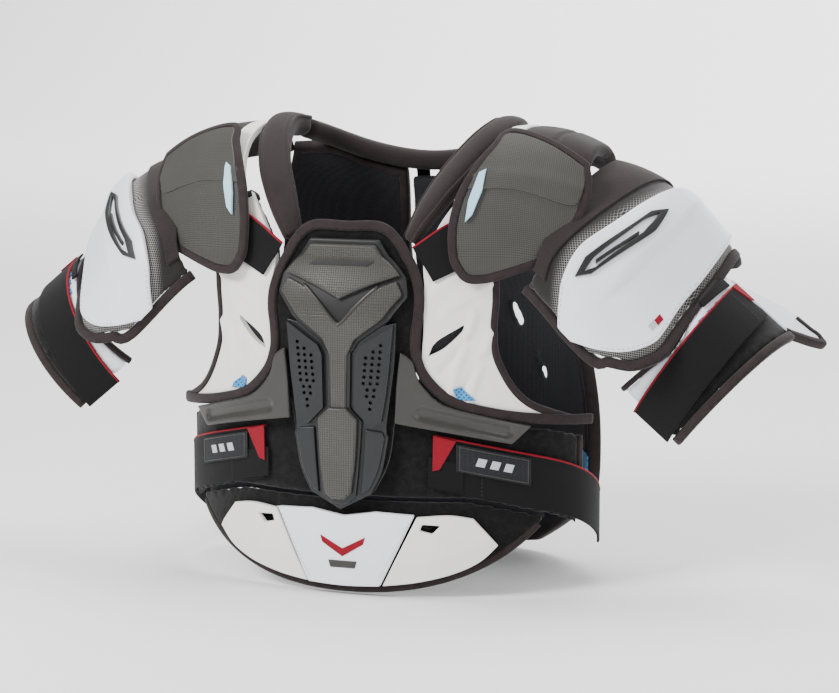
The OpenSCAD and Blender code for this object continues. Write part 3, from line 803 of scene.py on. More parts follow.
def along(u, v, a, b, width):
    """How far into a pressed line from a to b a place is: 1 on it and 0 past its width."""
    a, b = np.array(a, float), np.array(b, float)
    ab = b - a
    t = np.clip(((u - a[0]) * ab[0] + (v - a[1]) * ab[1]) / (ab @ ab), 0, 1)
    d = np.hypot(u - a[0] - t * ab[0], v - a[1] - t * ab[1])
    s = np.clip(1 - d / width, 0, 1)
    return s * s * (3 - 2 * s)


def chest_relief(u, v):
    """Four raised ribs, and two hollows under them."""
    rib = 2.4 * along(u, v, (88, -130), (140, -96), 7) + 2.2 * along(u, v, (96, -150), (146, -120), 6)
    rib += 2.8 * along(u, v, (142, -168), (116, -240), 7) + 2.6 * along(u, v, (126, -150), (100, -228), 6)
    return (rib - 2.8 * along(u, v, (92, -206), (122, -172), 5)
            - 2.4 * along(u, v, (112, -224), (136, -190), 5))


opening = smooth(flat([(79, -190, 1), (86, -176), (109, -160, 1), (108, -166), (93, -182)]), 3)
panel = slab("chest_panel_left", chest, chest_outline, 9.0, 15.4, edge=1.3, cell=2.8, holes=[opening],
             relief=chest_relief)
pair(paint(panel, chest_white), "vest", "chest_panel_left", slot="white_panel")
bound = smooth(flat([(192, -256), (160, -234), (139, -197), (135, -163), (138, -130), (139, -99), (130, -75),
                     (115, -52), (104, -46)]), closed=False)
edge = tape("chest_binding_left", chest, bound, -0.4, 17.2, cover=6.5, proud=1.8, closed=False)
pair(paint(edge, binding), "vest", slot="outer_fabric")

# The white foam runs on up over the shoulder beside the collar
strip_edge = smooth([(102, -92 * arch_mm, 1), (117, -60 * arch_mm), (127, -30 * arch_mm),
                     (129, 6 * arch_mm, 1),
                     (143, 6 * arch_mm, 1), (144, -28 * arch_mm), (134, -52 * arch_mm),
                     (120, -94 * arch_mm, 1)], 5)
strip = slab("shoulder_strip_left", arch, strip_edge, 6, 13.6, edge=1.4, cell=5)
pair(paint(strip, chest_white), "vest", slot="white_panel")

# A blue knit shows through a slot at the chest panel's lower edge
slot_edge = smooth(flat([(100, -221, 1), (107, -219, 1), (119, -232, 1), (104, -231, 1)]), 4)
slot_knit = slab("chest_mesh_left", chest, slot_edge, 15, 17.2, edge=0.3, cell=3, relief=chest_relief)
pair(paint(slot_knit, blue), "vest", slot="patch")

# ---- Clavicle straps ----
# Flat elastic that ties the sternum guard up to the shoulder, with a red edge on top.
strap_corners = flat([(64, -88, 1), (92, -70), (121, -57, 1), (133, -94, 1), (108, -108), (83, -123, 1)])
clavicle = slab("clavicle_strap_left", chest, smooth(strap_corners), 17.5, 19.8, edge=0.7, cell=6)
pair(paint(clavicle, elastic), "vest", "clavicle_strap_left", slot="elastic")
edge = tape("clavicle_red_edge_left", chest, smooth([c[:2] for c in strap_corners[2::-1]], closed=False),
            17.6, 20.3, cover=1.6, proud=0.4, closed=False, sides=8)
pair(paint(edge, red), "vest", slot="red_web")

# ---- Sternum ----
# The guard over the breastbone stands on a bound fabric backing. It is injection moulded in thermoplastic
# urethane: a hexagonal head with a V-shaped air intake, a keel, two vented cheeks and two lower side shells.
backing_half = [(0, -72), (33, -72), (49, -84), (61, -105), (69, -129), (70, -148), (67, -170), (67, -190),
                (67, -210), (52, -238), (44, -290), (30, -322, 1), (0, -322)]
backing = slab("sternum_backing", chest, smooth(flat(both(backing_half))), 9.6, 16.2, edge=1.5, cell=8)
goes_on(paint(backing, pile), "vest", "sternum_backing", slot="outer_fabric")
bound_half = flat([(0, -72), (33, -72), (50, -84), (62, -105), (70, -130), (71, -148), (68, -171), (69, -191),
                   (78, -212), (100, -233), (132, -244), (165, -251), (197, -258)])
bound = smooth([(-u, v) for u, v in bound_half[:0:-1]] + bound_half, closed=False)
edge = tape("sternum_binding", chest, bound[::-1], 14.2, 19.2, cover=5.0, proud=5.0, closed=False)
goes_on(paint(edge, binding), "vest", slot="outer_fabric")


def grid_lines(tree, run, pitch):
    """1 on the lines of a square grid with a pitch in metres, and less between them."""
    split = add(tree, "SeparateXYZ", {"Vector": run})
    waves = [maths(tree, "COSINE", maths(tree, "MULTIPLY", split[axis], 2 * math.pi / pitch))
             for axis in "XY"]
    return maths(tree, "MAXIMUM", *waves)


def moulded_skin(name, light, dark, roughness, pitch_mm):
    """A moulded skin of urethane or foam. A pitch gives it the raised woven grid of a textured mould, with
    painted shade: the grid's grooves are coloured almost black.
    """
    material, tree, shader = finish(name, light, roughness, Specular_IOR_Level=0.35)
    shader.inputs["IOR"].default_value = 1.5
    place = add(tree, "TexCoord")["Object"]
    tint = blend(tree, noise(tree, place, 30.0, 4.0), light, dark)
    grain = noise(tree, place, 1800.0)
    if pitch_mm:
        tile = grid_lines(tree, add(tree, "UVMap", uv_map="cut")["UV"], pitch_mm / 1000)
        groove = ranged(tree, tile, From_Min=0.45, From_Max=0.95, To_Min=1.0, To_Max=0.0)
        # Painted shade: on the grid's grooves the colour goes to near black, as if shade falls in them
        tint = blend(tree, groove, "#24231f", tint)
        grain = maths(tree, "MULTIPLY", groove, 3.0)
    dress(tree, shader, tint, grain, 0.45 if pitch_mm else 0.15, 0.0002)
    return material


woven = moulded_skin("textured_urethane_olive", "#4b4a44", "#3b3a36", 0.36, 2.2)
satin = moulded_skin("satin_urethane_olive", "#393835", "#2d2c2a", 0.28, 0)
cool = moulded_skin("satin_urethane_graphite", "#222325", "#18191a", 0.32, 0)
deep = moulded_skin("satin_urethane_black", "#1b1b1c", "#121213", 0.5, 0)

plate_half = [(0, -158, 1), (44, -160, 1), (52, -158, 1), (50, -200), (43, -258), (45, -266, 1), (39, -300),
              (29, -323, 1), (0, -339, 1)]
plate = slab("sternum_plate", chest, smooth(flat(both(plate_half)), 5), 17.5, 21.8, edge=1.8, cell=7)
goes_on(paint(plate, cool), "vest", "sternum_plate", slot="guard_plastic")

head_half = [(0, -82.5, 1), (34, -82.5, 1), (60, -121, 1), (62, -138, 1), (44, -158, 1), (19, -177, 1),
             (11, -190, 1), (0, -190, 1)]
head = slab("sternum_head", chest, smooth(flat(both(head_half)), 6), 17.5, 23.6, edge=2.4, cell=7)
goes_on(paint(head, deep, cool), "vest", "sternum_head_guard", slot="guard_plastic")
# The head's upper field ends in a V; the lower field starts with a V-shaped lip, and the intake is between
upper_half = [(0, -87, 1), (31.5, -87, 1), (55.5, -120, 1), (0, -143, 1)]
upper = slab("sternum_upper_field", chest, smooth(flat(both(upper_half)), 6), 22, 28.6, edge=2.2, cell=6)
goes_on(paint(upper, woven, satin), "vest", slot="guard_plastic")
lower_half = [(0, -160, 1), (31, -134.5, 1), (52, -125, 1), (57.5, -137, 1), (41, -154, 1), (15, -175, 1),
              (8.6, -190, 1), (7.4, -243, 1), (0, -243, 1)]
lower = slab("sternum_lower_field", chest, smooth(flat(both(lower_half)), 6), 22, 27.2, edge=1.8, cell=6)
goes_on(paint(lower, woven, satin), "vest", slot="guard_plastic")
lip_line = smooth(flat([(-35, -131.5), (0, -160.5, 1), (35, -131.5)]), closed=False)
lip = tape("sternum_intake_lip", chest, lip_line[::-1], 23, 28.4, cover=2.0, proud=1.2, closed=False,
           square=0.7)
goes_on(paint(lip, satin), "vest", slot="guard_plastic")
# A plain raised bar stands where a maker would put a mark
bar = smooth(flat([(-31, -112, 1), (-25, -105, 1), (31, -105, 1), (25, -112, 1)]), 6)
mark = slab("sternum_mark", chest, bar, 28, 29.8, edge=0.8, cell=6)
goes_on(paint(mark, deep, satin), "vest", slot="dark_plastic")

# The keel: a flat-topped hexagon that narrows to the guard's foot
keel_half = [(0, -240, 1), (8.5, -240, 1), (18.5, -250, 1), (16.5, -290), (12.5, -322, 1), (6, -328, 1),
             (0, -328)]
keel = slab("sternum_keel", chest, smooth(flat(both(keel_half)), 6), 24.4, 30.4, edge=2.2, cell=6)
goes_on(paint(keel, woven, satin), "vest", "sternum_keel", slot="guard_plastic")
stem_half = [(0, -186, 1), (11.5, -186, 1), (10.5, -240, 1), (21.5, -252, 1), (19, -292), (16, -324, 1),
             (9, -332, 1), (0, -334)]
stem = slab("sternum_stem", chest, smooth(flat(both(stem_half)), 6), 21, 25.2, edge=1.4, cell=7)
goes_on(paint(stem, cool), "vest", slot="guard_plastic")

# Each cheek is a vented graphite panel. Its holes stand in rows 6.1 mm apart. A row has a first place, which
# moves 0.55 mm inwards from row to row, and a number of holes, 6.3 mm apart.
cheek_outline = smooth(flat([(50, -160, 1), (19.5, -181, 1), (15.5, -190, 1), (14.5, -241, 1), (30, -258, 1),
                             (39.5, -252, 1), (45, -215)]), 6)
rows = [(0, 1), (0, 2), (0, 3), (0, 3), (0, 3), (0, 3), (0, 3), (0.6, 2), (0.6, 2), (1.2, 1), (1.2, 1)]
hole_r = 1.75
cheek_holes = []
for k, (start, count) in enumerate(rows):
    for j in range(count):
        at = (39.5 - 6.3 * (j + start * 0.6) - 0.55 * k, -179 - 6.1 * k)
        cheek_holes.append([(at[0] + hole_r * math.cos(a), at[1] + hole_r * math.sin(a))
                            for a in np.arange(10) * math.pi / 5])
cheek = slab("sternum_cheek_left", chest, cheek_outline, 21.8, 26.4, edge=0.9, cell=8, holes=cheek_holes,
             segments=2)
pair(paint(cheek, cool), "vest", "sternum_vent_left", slot="guard_plastic")
# A lower side shell stands on each side of the keel
side_outline = smooth(flat([(24, -260, 1), (40, -262, 1), (42, -268, 1), (36, -299), (28, -318, 1),
                            (19.5, -324, 1), (22, -292)]), 6)
shell_side = slab("sternum_side_left", chest, side_outline, 21.5, 24.6, edge=1.5, cell=8)
pair(paint(shell_side, cool), "vest", slot="guard_plastic")

# ---- Rib wings ----
# Moulded urethane wings that run out over the ribs, with a long recess and a web up beside the sternum.
wing_outline = smooth(flat([(55, -186, 1), (66, -194), (72, -214), (92, -235), (128, -247), (160, -257, 1),
                            (146, -274, 1), (100, -263), (50, -254, 1), (52, -215)]), 6)


def wing_relief(u, v):
    """A long recess, 2.6 mm deep and flat at the bottom."""
    line = flat([(74, -244), (108, -252), (142, -262)])
    sunk = np.maximum(along(u, v, line[0], line[1], 8.5), along(u, v, line[1], line[2], 8))
    return -2.6 * np.clip(sunk * 3.5 - 0.6, 0, 1)


wing = slab("rib_wing_left", chest, wing_outline, 17.4, 22.2, edge=1.5, cell=2.0, relief=wing_relief)
pair(paint(wing, satin), "vest", "rib_wing_left", slot="guard_plastic")

# ---- Belly ----
# A foam pad faced with loop pile, so that the side straps grip it anywhere. Below a flexible line hangs the
# belly guard, with white moulded panels on it.
degree = half_w * math.pi / 180


def strap_z(a):
    """Height of the middle of a side strap, a degrees round from the front."""
    return -292 - (a - 25) * 0.7 - 0.012 * max(0, a - 60) ** 2 + 0.045 * max(0, a - 95) ** 2


def flex_z(a):
    """Height of the flexible line between the belly pad and the belly guard."""
    return min(-330, strap_z(max(25, abs(a))) - 30.5)


top = [(a * degree, -247 - 26 * (a / 78) ** 2) for a in range(-77, 78, 7)]
low = [(a * degree, flex_z(a) + 0.8) for a in range(77, -78, -7)]
belly = slab("belly_pad", chest, between(top, low, 6), 0.6, 7.6, edge=2.5, cell=14)
swell(belly, 0.004, 0.0006)
goes_on(paint(belly, pile), "vest", "belly_pad", slot="loop_fabric", fill=0.4)


def hem_z(a):
    """Height of the belly guard's hem: an upturned bow."""
    return -421 + 58 * (np.abs(a) / 56) ** 2.2


# A strip of the lining fabric is sewn behind the flexible line
strip_top = [(a * degree, flex_z(a) + 11) for a in np.linspace(-62, 62, 23)]
strip_low = [(a * degree, flex_z(a) - 3) for a in np.linspace(62, -62, 23)]
gusset = slab("belly_gusset", chest, strip_top + strip_low, -1.6, -0.2, edge=0.4, cell=14)
goes_on(paint(gusset, lining), "vest", slot="lining")

top = [(a * degree, flex_z(a) - 0.8) for a in np.linspace(-61, 61, 23)]
low = [(a * degree, hem_z(a)) for a in np.linspace(61, -61, 23)]
slots = [slot_outline(side * 78.03, -352, 21, 8, -side * 12) for side in (1, -1)]
hem_pad = slab("belly_guard_pad", chest, between(top, low, 6), 0.6, 7.6, edge=2.5, cell=14, holes=slots)
swell(hem_pad, 0.004, 0.0006)
goes_on(paint(hem_pad, pile), "belly_guard", "belly_guard_pad", slot="loop_fabric", fill=0.4)
hem = smooth([(a * degree, hem_z(a)) for a in np.linspace(-58.5, 58.5, 23)], closed=False)
edge = tape("belly_hem_binding", chest, hem, -0.2, 8.8, cover=6.5, proud=1.5, closed=False)
goes_on(paint(edge, binding), "belly_guard", slot="outer_fabric")
edge = tape("belly_side_binding_left", chest,
            [(77 * degree, z) for z in np.linspace(flex_z(77) + 6, -275, 16)], -0.5, 8.9, cover=2.0,
            proud=6.5, closed=False)
pair(paint(edge, binding), "vest", slot="outer_fabric")


def panel_relief(u, v):
    """The panel is thickest along its middle and falls away to its hem."""
    return 1.8 * np.clip((v - hem_z(u / degree) - 14) / 12, 0, 1) - 0.6


side_panel = [(20.1, flex_z(21) - 15, 1), (29, flex_z(29) - 13), (36, flex_z(36) - 16, 1),
              (43.5, hem_z(43.5) + 15, 1), (38, hem_z(38) + 8), (30, hem_z(30) + 6), (20, hem_z(20) + 6),
              (10.6, hem_z(10) + 6, 1)]
side_outline = smooth([(p[0] * degree, *p[1:]) for p in side_panel], 5)
window = [(u * degree, v) for u, v in ((21.6, -352), (26.6, -353), (24.4, -361), (21.0, -358))]
side_guard = slab("belly_side_panel_left", chest, side_outline, 9.4, 14.6, edge=1.5, cell=4, holes=[window],
                  relief=panel_relief)
pair(paint(side_guard, chest_white), "belly_guard", "belly_side_panel_left", slot="white_panel")
centre_half = [(0, -346, 1), (9, -341, 1), (19.6, flex_z(19) - 13, 1), (10.1, hem_z(10) + 6, 1),
               (0, hem_z(0) + 6)]
centre_outline = smooth(both([(p[0] * degree, *p[1:]) for p in centre_half]), 5)
centre = slab("belly_centre_panel", chest, centre_outline, 9.8, 16.6, edge=2.0, cell=6)
goes_on(paint(centre, cap_white), "belly_guard", "belly_centre_panel", slot="white_panel")


def stitches(name, surface, path, height, length=2.6, gap=1.6, thick=0.55):
    """A row of lock stitches, each a short thread that dives into the cloth at both ends."""
    line = np.array(path, float)
    gaps = np.hypot(*np.diff(line, axis=0).T)
    walked = np.concatenate([[0], np.cumsum(gaps)])
    count = int(walked[-1] / (length + gap))
    profile = [(0, -1), (0.9, -0.3), (1, 0.3), (0, 1), (-1, 0.3), (-0.9, -0.3)]
    points, faces = [], []
    for k in range(count):
        start = k * (length + gap) + gap / 2
        for share, size in ((0, 0.35), (0.3, 1.0), (0.7, 1.0), (1, 0.35)):
            s = start + share * length
            mid = np.array([np.interp(s, walked, line[:, 0]), np.interp(s, walked, line[:, 1])])
            on = np.array([np.interp(s + 0.3, walked, line[:, 0]), np.interp(s + 0.3, walked, line[:, 1])])
            way = (on - mid) / max(1e-6, np.hypot(*(on - mid)))
            for p, q in profile:
                points.append((*(mid + p * thick / 2 * size * np.array([-way[1], way[0]])),
                               height + q * thick / 2 * size))
        base = 24 * k
        for ring in range(3):
            for j in range(6):
                a, b = base + ring * 6 + j, base + ring * 6 + (j + 1) % 6
                faces.append((a, b, b + 6, a + 6))
        faces += [tuple(base + j for j in range(5, -1, -1)), tuple(base + 18 + j for j in range(6))]
    points = np.array(points)
    placed, _ = laid(surface, points[:, :2], points[:, 2])
    mesh = bpy.data.meshes.new(name)
    mesh.from_pydata(placed.tolist(), [], faces)
    piece = new_object(name, mesh)
    face_out(piece)
    bpy.ops.object.shade_smooth()
    return piece


def thread_material(name, colour, light, dark):
    """Twisted polyester thread, a little glossy."""
    material, tree, shader = finish(name, colour, 0.5, Sheen_Weight=0.3)
    twist = noise(tree, add(tree, "TexCoord")["Object"], 2500.0)
    tree.links.new(blend(tree, twist, light, dark), shader.inputs["Base Color"])
    return material


thread = thread_material("polyester_thread_grey", "#b9bac0", "#c6c7cc", "#9a9ba2")
thread_black = thread_material("polyester_thread_black", "#101010", "#1c1c1d", "#080808")
seam = [(18.3 * degree, flex_z(19) - 19), (9.4 * degree, hem_z(9) + 10)]
seam = [tuple(np.array(seam[0]) + (np.array(seam[1]) - np.array(seam[0])) * k / 12) for k in range(13)]
row = stitches("belly_centre_stitches_left", chest, seam, 16.7)
pair(paint(row, thread), "belly_guard", slot="white_panel")
# A red chevron and a graphite bar stand in for printed marks
chevron = flat([(-22, -366, 1), (0, -378, 1), (22, -366, 1), (20, -373, 1), (0, -386, 1), (-20, -373, 1)])
mark = slab("belly_mark_chevron", chest, smooth(chevron, 5), 16.2, 17.5, edge=0.5, cell=5)
goes_on(paint(mark, red), "belly_guard", slot="red_web")
bar = smooth(flat([(-14, -390, 1), (14, -390, 1), (12, -397, 1), (-12, -397, 1)]), 5)
mark = slab("belly_mark_bar", chest, bar, 16.2, 17.5, edge=0.5, cell=5)
goes_on(paint(mark, satin), "belly_guard", slot="dark_plastic")

# ---- Side straps ----
# 52 mm woven elastic from the back round each side, with a red edge. Its end grips the belly pad's pile.
half = 26


def strap_edge(start, end, lift, count=24):
    """A line along the side strap between two angles, lifted from its middle."""
    return [((start + (end - start) * k / count) * degree,
             strap_z(start + (end - start) * k / count) + lift) for k in range(count + 1)]


strap_outline = between(strap_edge(25, 105, -half), strap_edge(105, 25, half), 8)
strap = slab("torso_strap_left", chest, strap_outline, 9.3, 11.6, edge=0.8, cell=7)
pair(paint(strap, elastic), "side_strap_left", "torso_strap_left", slot="elastic")
edge = tape("torso_strap_red_edge_left", chest, strap_edge(25, 105, half)[::-1], 9.2, 12.0, cover=1.4,
            proud=0.8, closed=False, sides=8)
pair(paint(edge, red), "side_strap_left", slot="red_web")
tab_outline = smooth([(*p, 1) if k in (9, 10) else p
                      for k, p in enumerate(strap_edge(23.4, 33, -24, 9) + strap_edge(33, 23.4, 4, 9))], 6)
tab = slab("hook_tab_left", chest, tab_outline, 11.4, 12.8, edge=0.5, cell=8)
pair(paint(tab, elastic), "side_strap_left", slot="elastic")
across_strap = [(38.5 * degree, strap_z(38.5) + k * 2 - 24) for k in range(19)]
row = stitches("strap_stitches_left", chest, across_strap, 11.7, 2.4, 1.3, 0.5)
pair(paint(row, thread_black), "side_strap_left", slot="elastic")
# A woven patch and a red pull tab are sewn near the end
patch_outline = between(strap_edge(31, 54, -4, 9), strap_edge(54, 31, 22, 9), 8)
badge = slab("strap_patch_left", chest, patch_outline, 12.9, 14.1, edge=0.4, cell=8)
pair(paint(badge, lining), "side_strap_left", "strap_patch_left", slot="patch")
trim_line = between(strap_edge(32, 53, -2, 9), strap_edge(53, 32, 20, 9), 8)
trim = tape("patch_trim_left", chest, trim_line, 13.9, 14.6, cover=0.5, proud=0.5, sides=6)
pair(paint(trim, satin), "side_strap_left", slot="patch")
for k in range(3):
    a = 36.5 + 4.2 * k
    dash = slab(f"patch_mark_{k}_left", chest,
                [(a * degree, strap_z(a) + 5), ((a + 2.6) * degree, strap_z(a + 2.6) + 5),
                 ((a + 3.5) * degree, strap_z(a + 3.5) + 13), ((a + 0.9) * degree, strap_z(a + 0.9) + 13)],
                13.9, 14.6, edge=0.2, cell=8)
    pair(paint(dash, thread), "side_strap_left", slot="patch")
pull_outline = [(24.6 * degree, strap_z(25) + half + 0.6), (31 * degree, strap_z(31) + half - 1),
                (26.4 * degree, strap_z(26) - 6), (24.4 * degree, strap_z(25) - 8)][::-1]
pull = slab("strap_pull_left", chest, smooth([(*p, 1) for p in pull_outline], 6), 12.9, 14.3, edge=0.5,
            cell=6)
pair(paint(pull, red), "side_strap_left", "strap_pull_left", slot="red_web")

# ---- Epaulettes ----
# Shoulder cups of moulded foam, embossed with a fine grid and bound at the edge, that lift on a hinge at the
# collar. A raised field with plain edges covers the upper part, and a ridge crosses it.


def over(points):
    """Corners given as x and degrees over the shoulder, as places on the arch's cloth."""
    return [(p[0], p[1] * arch_mm, *p[2:]) for p in points]


cup_edge = smooth(over([(139, -28), (172, -31), (204, -37, 1), (208, -48), (206, -61), (197, -76), (170, -94),
                        (147, -106), (127, -112), (110, -109), (98, -86), (102, -68), (114, -53),
                        (127, -40)]), 5)


def cup_relief(u, v):
    """The foam domes gently, thins towards its edge and has a soft ridge across its upper field."""
    middle = np.array(over([(150, -70)]))[0]
    spread = np.hypot((u - middle[0]) / 55, (v - middle[1]) / 80)
    ridge = along(u, v, np.array(over([(118, -57)]))[0], np.array(over([(199, -54)]))[0], 9)
    return 1.6 * np.clip(1 - spread ** 2, 0, 1) + 1.5 * ridge


foam_grid = moulded_skin("embossed_foam_olive", "#4b4a45", "#3d3c38", 0.55, 1.5)
foam_plain = moulded_foam("moulded_foam_olive", "#4d4c47", "#3c3b37", 0.5, 0.5)
cup = slab("epaulette_left", arch, cup_edge, 22.6, 27.2, edge=1.4, cell=4, relief=cup_relief)
pair(paint(cup, foam_grid), "shoulder_flap_left", "epaulette_left", slot="epaulette_foam")
edge = tape("epaulette_binding_left", arch, cup_edge, 22.8, 29.0, cover=8.0, proud=1.0)
pair(paint(edge, binding), "shoulder_flap_left", slot="outer_fabric")
field_edge = smooth(over([(140, -32), (172, -35), (201, -41, 1), (203, -50), (200, -60, 1), (191, -64),
                          (151, -62, 1), (112, -63, 1), (121, -52), (132, -41)]), 5)
field = slab("epaulette_field_left", arch, field_edge, 27, 29.2, edge=1.8, cell=4, relief=cup_relief)
pair(paint(field, foam_grid, foam_plain), "shoulder_flap_left", "epaulette_field_left", slot="epaulette_foam")
# A pale blue lozenge stands where a maker would sew a label
pale_blue, tree, shader = finish("printed_ink_pale_blue", "#a9d3e6", 0.55)
patchy = noise(tree, add(tree, "TexCoord")["Object"], 500.0, 3.0)
tree.links.new(blend(tree, patchy, "#b4dbec", "#9bc8dd"), shader.inputs["Base Color"])
label_edge = smooth(over([(121, -56, 1), (127, -54, 1), (125, -64, 1), (118, -74, 1), (112, -77, 1),
                          (114, -68, 1)]), 4)
label = slab("epaulette_label_left", arch, label_edge, 29, 31.4, edge=0.5, cell=4, relief=cup_relief)
pair(paint(label, pale_blue), "shoulder_flap_left", slot="epaulette_foam")

# ---- Shoulder caps ----
# Foam cups in a knit cover, printed with a pale fading grid, that hang from the shoulder. On top of each is a
# knit yoke and a curved white plastic shell with a sewn edge.

# Knit cover of the cap: charcoal, printed with a pale lattice that fades out away from the shell
cap_cover, tree, shader = textile("printed_polyester_knit", "#35312f", 0.85, 0.3)
place = add(tree, "TexCoord")["Object"]
run = add(tree, "UVMap", uv_map="cut")["UV"]
# The lattice's lines are 2.4 mm apart, on the slant
slant = add(tree, "Mapping", {"Vector": run, "Rotation": (0, 0, math.radians(45))})["Vector"]
lattice = grid_lines(tree, slant, 0.0024)
share = add(tree, "Attribute", attribute_name="print")["Fac"]
least = ranged(tree, share, To_Min=1.15, To_Max=0.5)
ink = ranged(tree, lattice, From_Min=least, From_Max=maths(tree, "ADD", least, 0.25), To_Max=0.6)
knit = add(tree, "TexVoronoi", {"Vector": place, **knit_loops})["Distance"]
tint = blend(tree, noise(tree, place, 45.0, 4.0), "#262222", "#1a1717")
dress(tree, shader, blend(tree, ink, tint, "#b9b6b2"), knit, 0.4, 0.0004)

shell_top = [(-84, -36), (-60, -46), (-35, -56), (-12, -62), (10, -67), (32, -71), (52, -62), (66, -48),
             (76, -36)]
shell_low = [(-84, 3), (-60, 6), (-35, 11), (-12, 18), (10, 27), (22, 33), (34, 35), (52, 23), (66, 3),
             (76, -20)]
shell_edge = between(turned(shell_top), turned(shell_low[::-1]), 5)
shell_line = np.array(shell_edge)
cap_lines = [(-86, -108, 11), (-72, -116, 14), (-60, -121, 16), (-35, -121, 21), (-12, -120, 28),
             (10, -117, 37),
             (32, -107, 45), (44, -98, 41), (55, -92, 33), (66, -88, 16), (76, -86, 0)]
tops = [(a * cap_mm, t) for a, t, _ in cap_lines]
hems = [(a * cap_mm, t) for a, _, t in cap_lines]
liner_outline = between(tops, hems[::-1], 6)
liner = slab("cap_liner_left", cap, liner_outline, 0.8, 8.0, edge=2.6, cell=14)
swell(liner, 0.004, 0.0008)
spots = chart(liner, cap, liner_outline, 8)
# How strongly the lattice is printed: full beside the shell, gone 20 mm from it
printed = liner.data.attributes.new("print", "FLOAT", "POINT")
apart = spots[:, None] - shell_line[None]
gap = np.min(np.hypot(apart[..., 0], apart[..., 1]), 1)
printed.data.foreach_set("value", np.float32(np.clip(1 - gap / 20, 0, 1) ** 1.3))
pair(paint(liner, cap_cover), "shoulder_cap_left", "cap_liner_left", slot="outer_fabric", fill=0.4)
edge = tape("cap_binding_left", cap, smooth([tops[-1]] + hems[::-1] + [tops[0]], 5, closed=False)[::-1],
            0.2, 10.0, cover=8.0, proud=2.0, closed=False)
pair(paint(edge, binding), "shoulder_cap_left", slot="outer_fabric")

yoke_lines = [(-84, -106, -60), (-60, -119, -68), (-35, -119, -76), (-12, -118, -80), (10, -115, -83),
              (32, -105, -84), (48, -95, -82), (62, -88, -74)]
yoke_edge = between([(a * cap_mm, t) for a, t, _ in yoke_lines],
                    [(a * cap_mm, t) for a, _, t in yoke_lines[::-1]], 6)
yoke = slab("cap_yoke_left", cap, yoke_edge, 8.6, 11.0, edge=0.9, cell=6)
pair(paint(yoke, fabric), "shoulder_cap_left", "cap_yoke_left", slot="outer_fabric")


def shell_relief(u, v):
    """The shell's upper part stands proud of a crease that starts at its front edge and fades to the rear."""
    crease = -27 + 0.10 * (u / cap_mm)
    fade = np.clip((62 - np.abs(u / cap_mm + 5)) / 35, 0, 1)
    step = np.clip((crease - v) / 4.5, 0, 1)
    return 4.2 * fade * step * step * (3 - 2 * step)


shell_piece = slab("cap_shell_left", cap, shell_edge, 10.2, 14.4, edge=1.6, cell=3.4, relief=shell_relief)
pair(paint(shell_piece, cap_white), "shoulder_cap_left", "cap_shell_left", slot="white_panel")
seam_in = 3.4
low_line = smooth(turned([(a, t - seam_in) for a, t in shell_low[:-1]]), closed=False)
row = stitches("cap_low_stitches_left", cap, low_line, 14.5, 3.2, 2.2, 0.8)
pair(paint(row, thread), "shoulder_cap_left", slot="white_panel")
top_line = smooth(turned([(a, t + seam_in) for a, t in shell_top]), closed=False)
row = stitches("cap_top_stitches_left", cap, top_line, 14.5, 3.2, 2.2, 0.8)
pair(paint(row, thread), "shoulder_cap_left", slot="white_panel")
# A plain raised emblem: a long hexagon ring with a bar in it
ring = [(-12, -45), (-4, -52.5), (34, -59), (46, -54), (38, -46), (0, -38.5)]
outer = smooth(turned([(*p, 1) for p in ring]), 4)
middle = np.mean(ring, 0)
inner = turned([tuple(middle + (np.array(p) - middle) * (0.80, 0.50)) for p in ring])
badge = slab("cap_emblem_ring_left", cap, outer, 13.5, 17.6, edge=0.6, cell=3, holes=[inner],
             relief=shell_relief)
pair(paint(badge, deep, satin), "shoulder_cap_left", slot="dark_plastic")
bar = smooth(turned([(4, -46.6, 1), (31, -51.8, 1), (32.5, -49.4, 1), (5.5, -44.2, 1)]), 4)
badge = slab("cap_emblem_bar_left", cap, bar, 13.5, 17.4, edge=0.6, cell=3, relief=shell_relief)
pair(paint(badge, deep, satin), "shoulder_cap_left", slot="dark_plastic")
# One small sewn-in tag, on the wearer's left, half red and half white
for name, start, stop, colour in (("tag_red", 20, 25, red), ("tag_white", 25, 30, thread)):
    tag = turned([(start, 17.5, 1), (stop, 18.5, 1), (stop, 25, 1), (start, 24, 1)])
    piece = slab(name, cap, smooth(tag, 4), 14.2, 15.2, edge=0.2, cell=6)
    goes_on(paint(piece, colour), "shoulder_cap_left", slot="patch")

# ---- Arm guards ----
# A foam sleeve round the biceps: a white pad with a blue print, a loop-pile panel below it and, behind, a
# stiff white flare. It hangs from the cap by a short elastic, and an arm strap closes round it.
pad_edge = round_arm([(-34, 30), (-16, 33.5), (0, 38), (20, 44.5), (40, 51), (60, 46), (80, 41)])
pad_low = round_arm([(80, 63.4), (40, 63.4), (0, 63.4), (-34, 63.4)])
pad = slab("arm_pad_left", guard, between(pad_edge, pad_low, 6), 0.6, 7.6, edge=2.2, cell=12)
swell(pad, 0.004, 0.0006)
pair(paint(pad, cap_white), "arm_guard_left", "arm_pad_left", slot="white_panel", fill=0.4)
edge = tape("arm_pad_binding_left", guard, smooth(pad_edge, 5, closed=False)[::-1], -0.3, 7.9, cover=4.5,
            proud=1.0, closed=False)
pair(paint(edge, binding), "arm_guard_left", slot="outer_fabric")
# A blue print of slanting dashes on the pad
for k in range(4):
    a = -14 + 8.5 * k
    dash = round_arm([(a, 47 + 0.9 * k, 1), (a + 5, 46.5 + 0.9 * k, 1), (a + 2.6, 60, 1), (a - 3, 60, 1)])
    ink = slab(f"arm_pad_print_{k}_left", guard, smooth(dash, 4), 7.4, 8.7, edge=0.3, cell=6)
    pair(paint(ink, blue), "arm_guard_left", slot="patch")

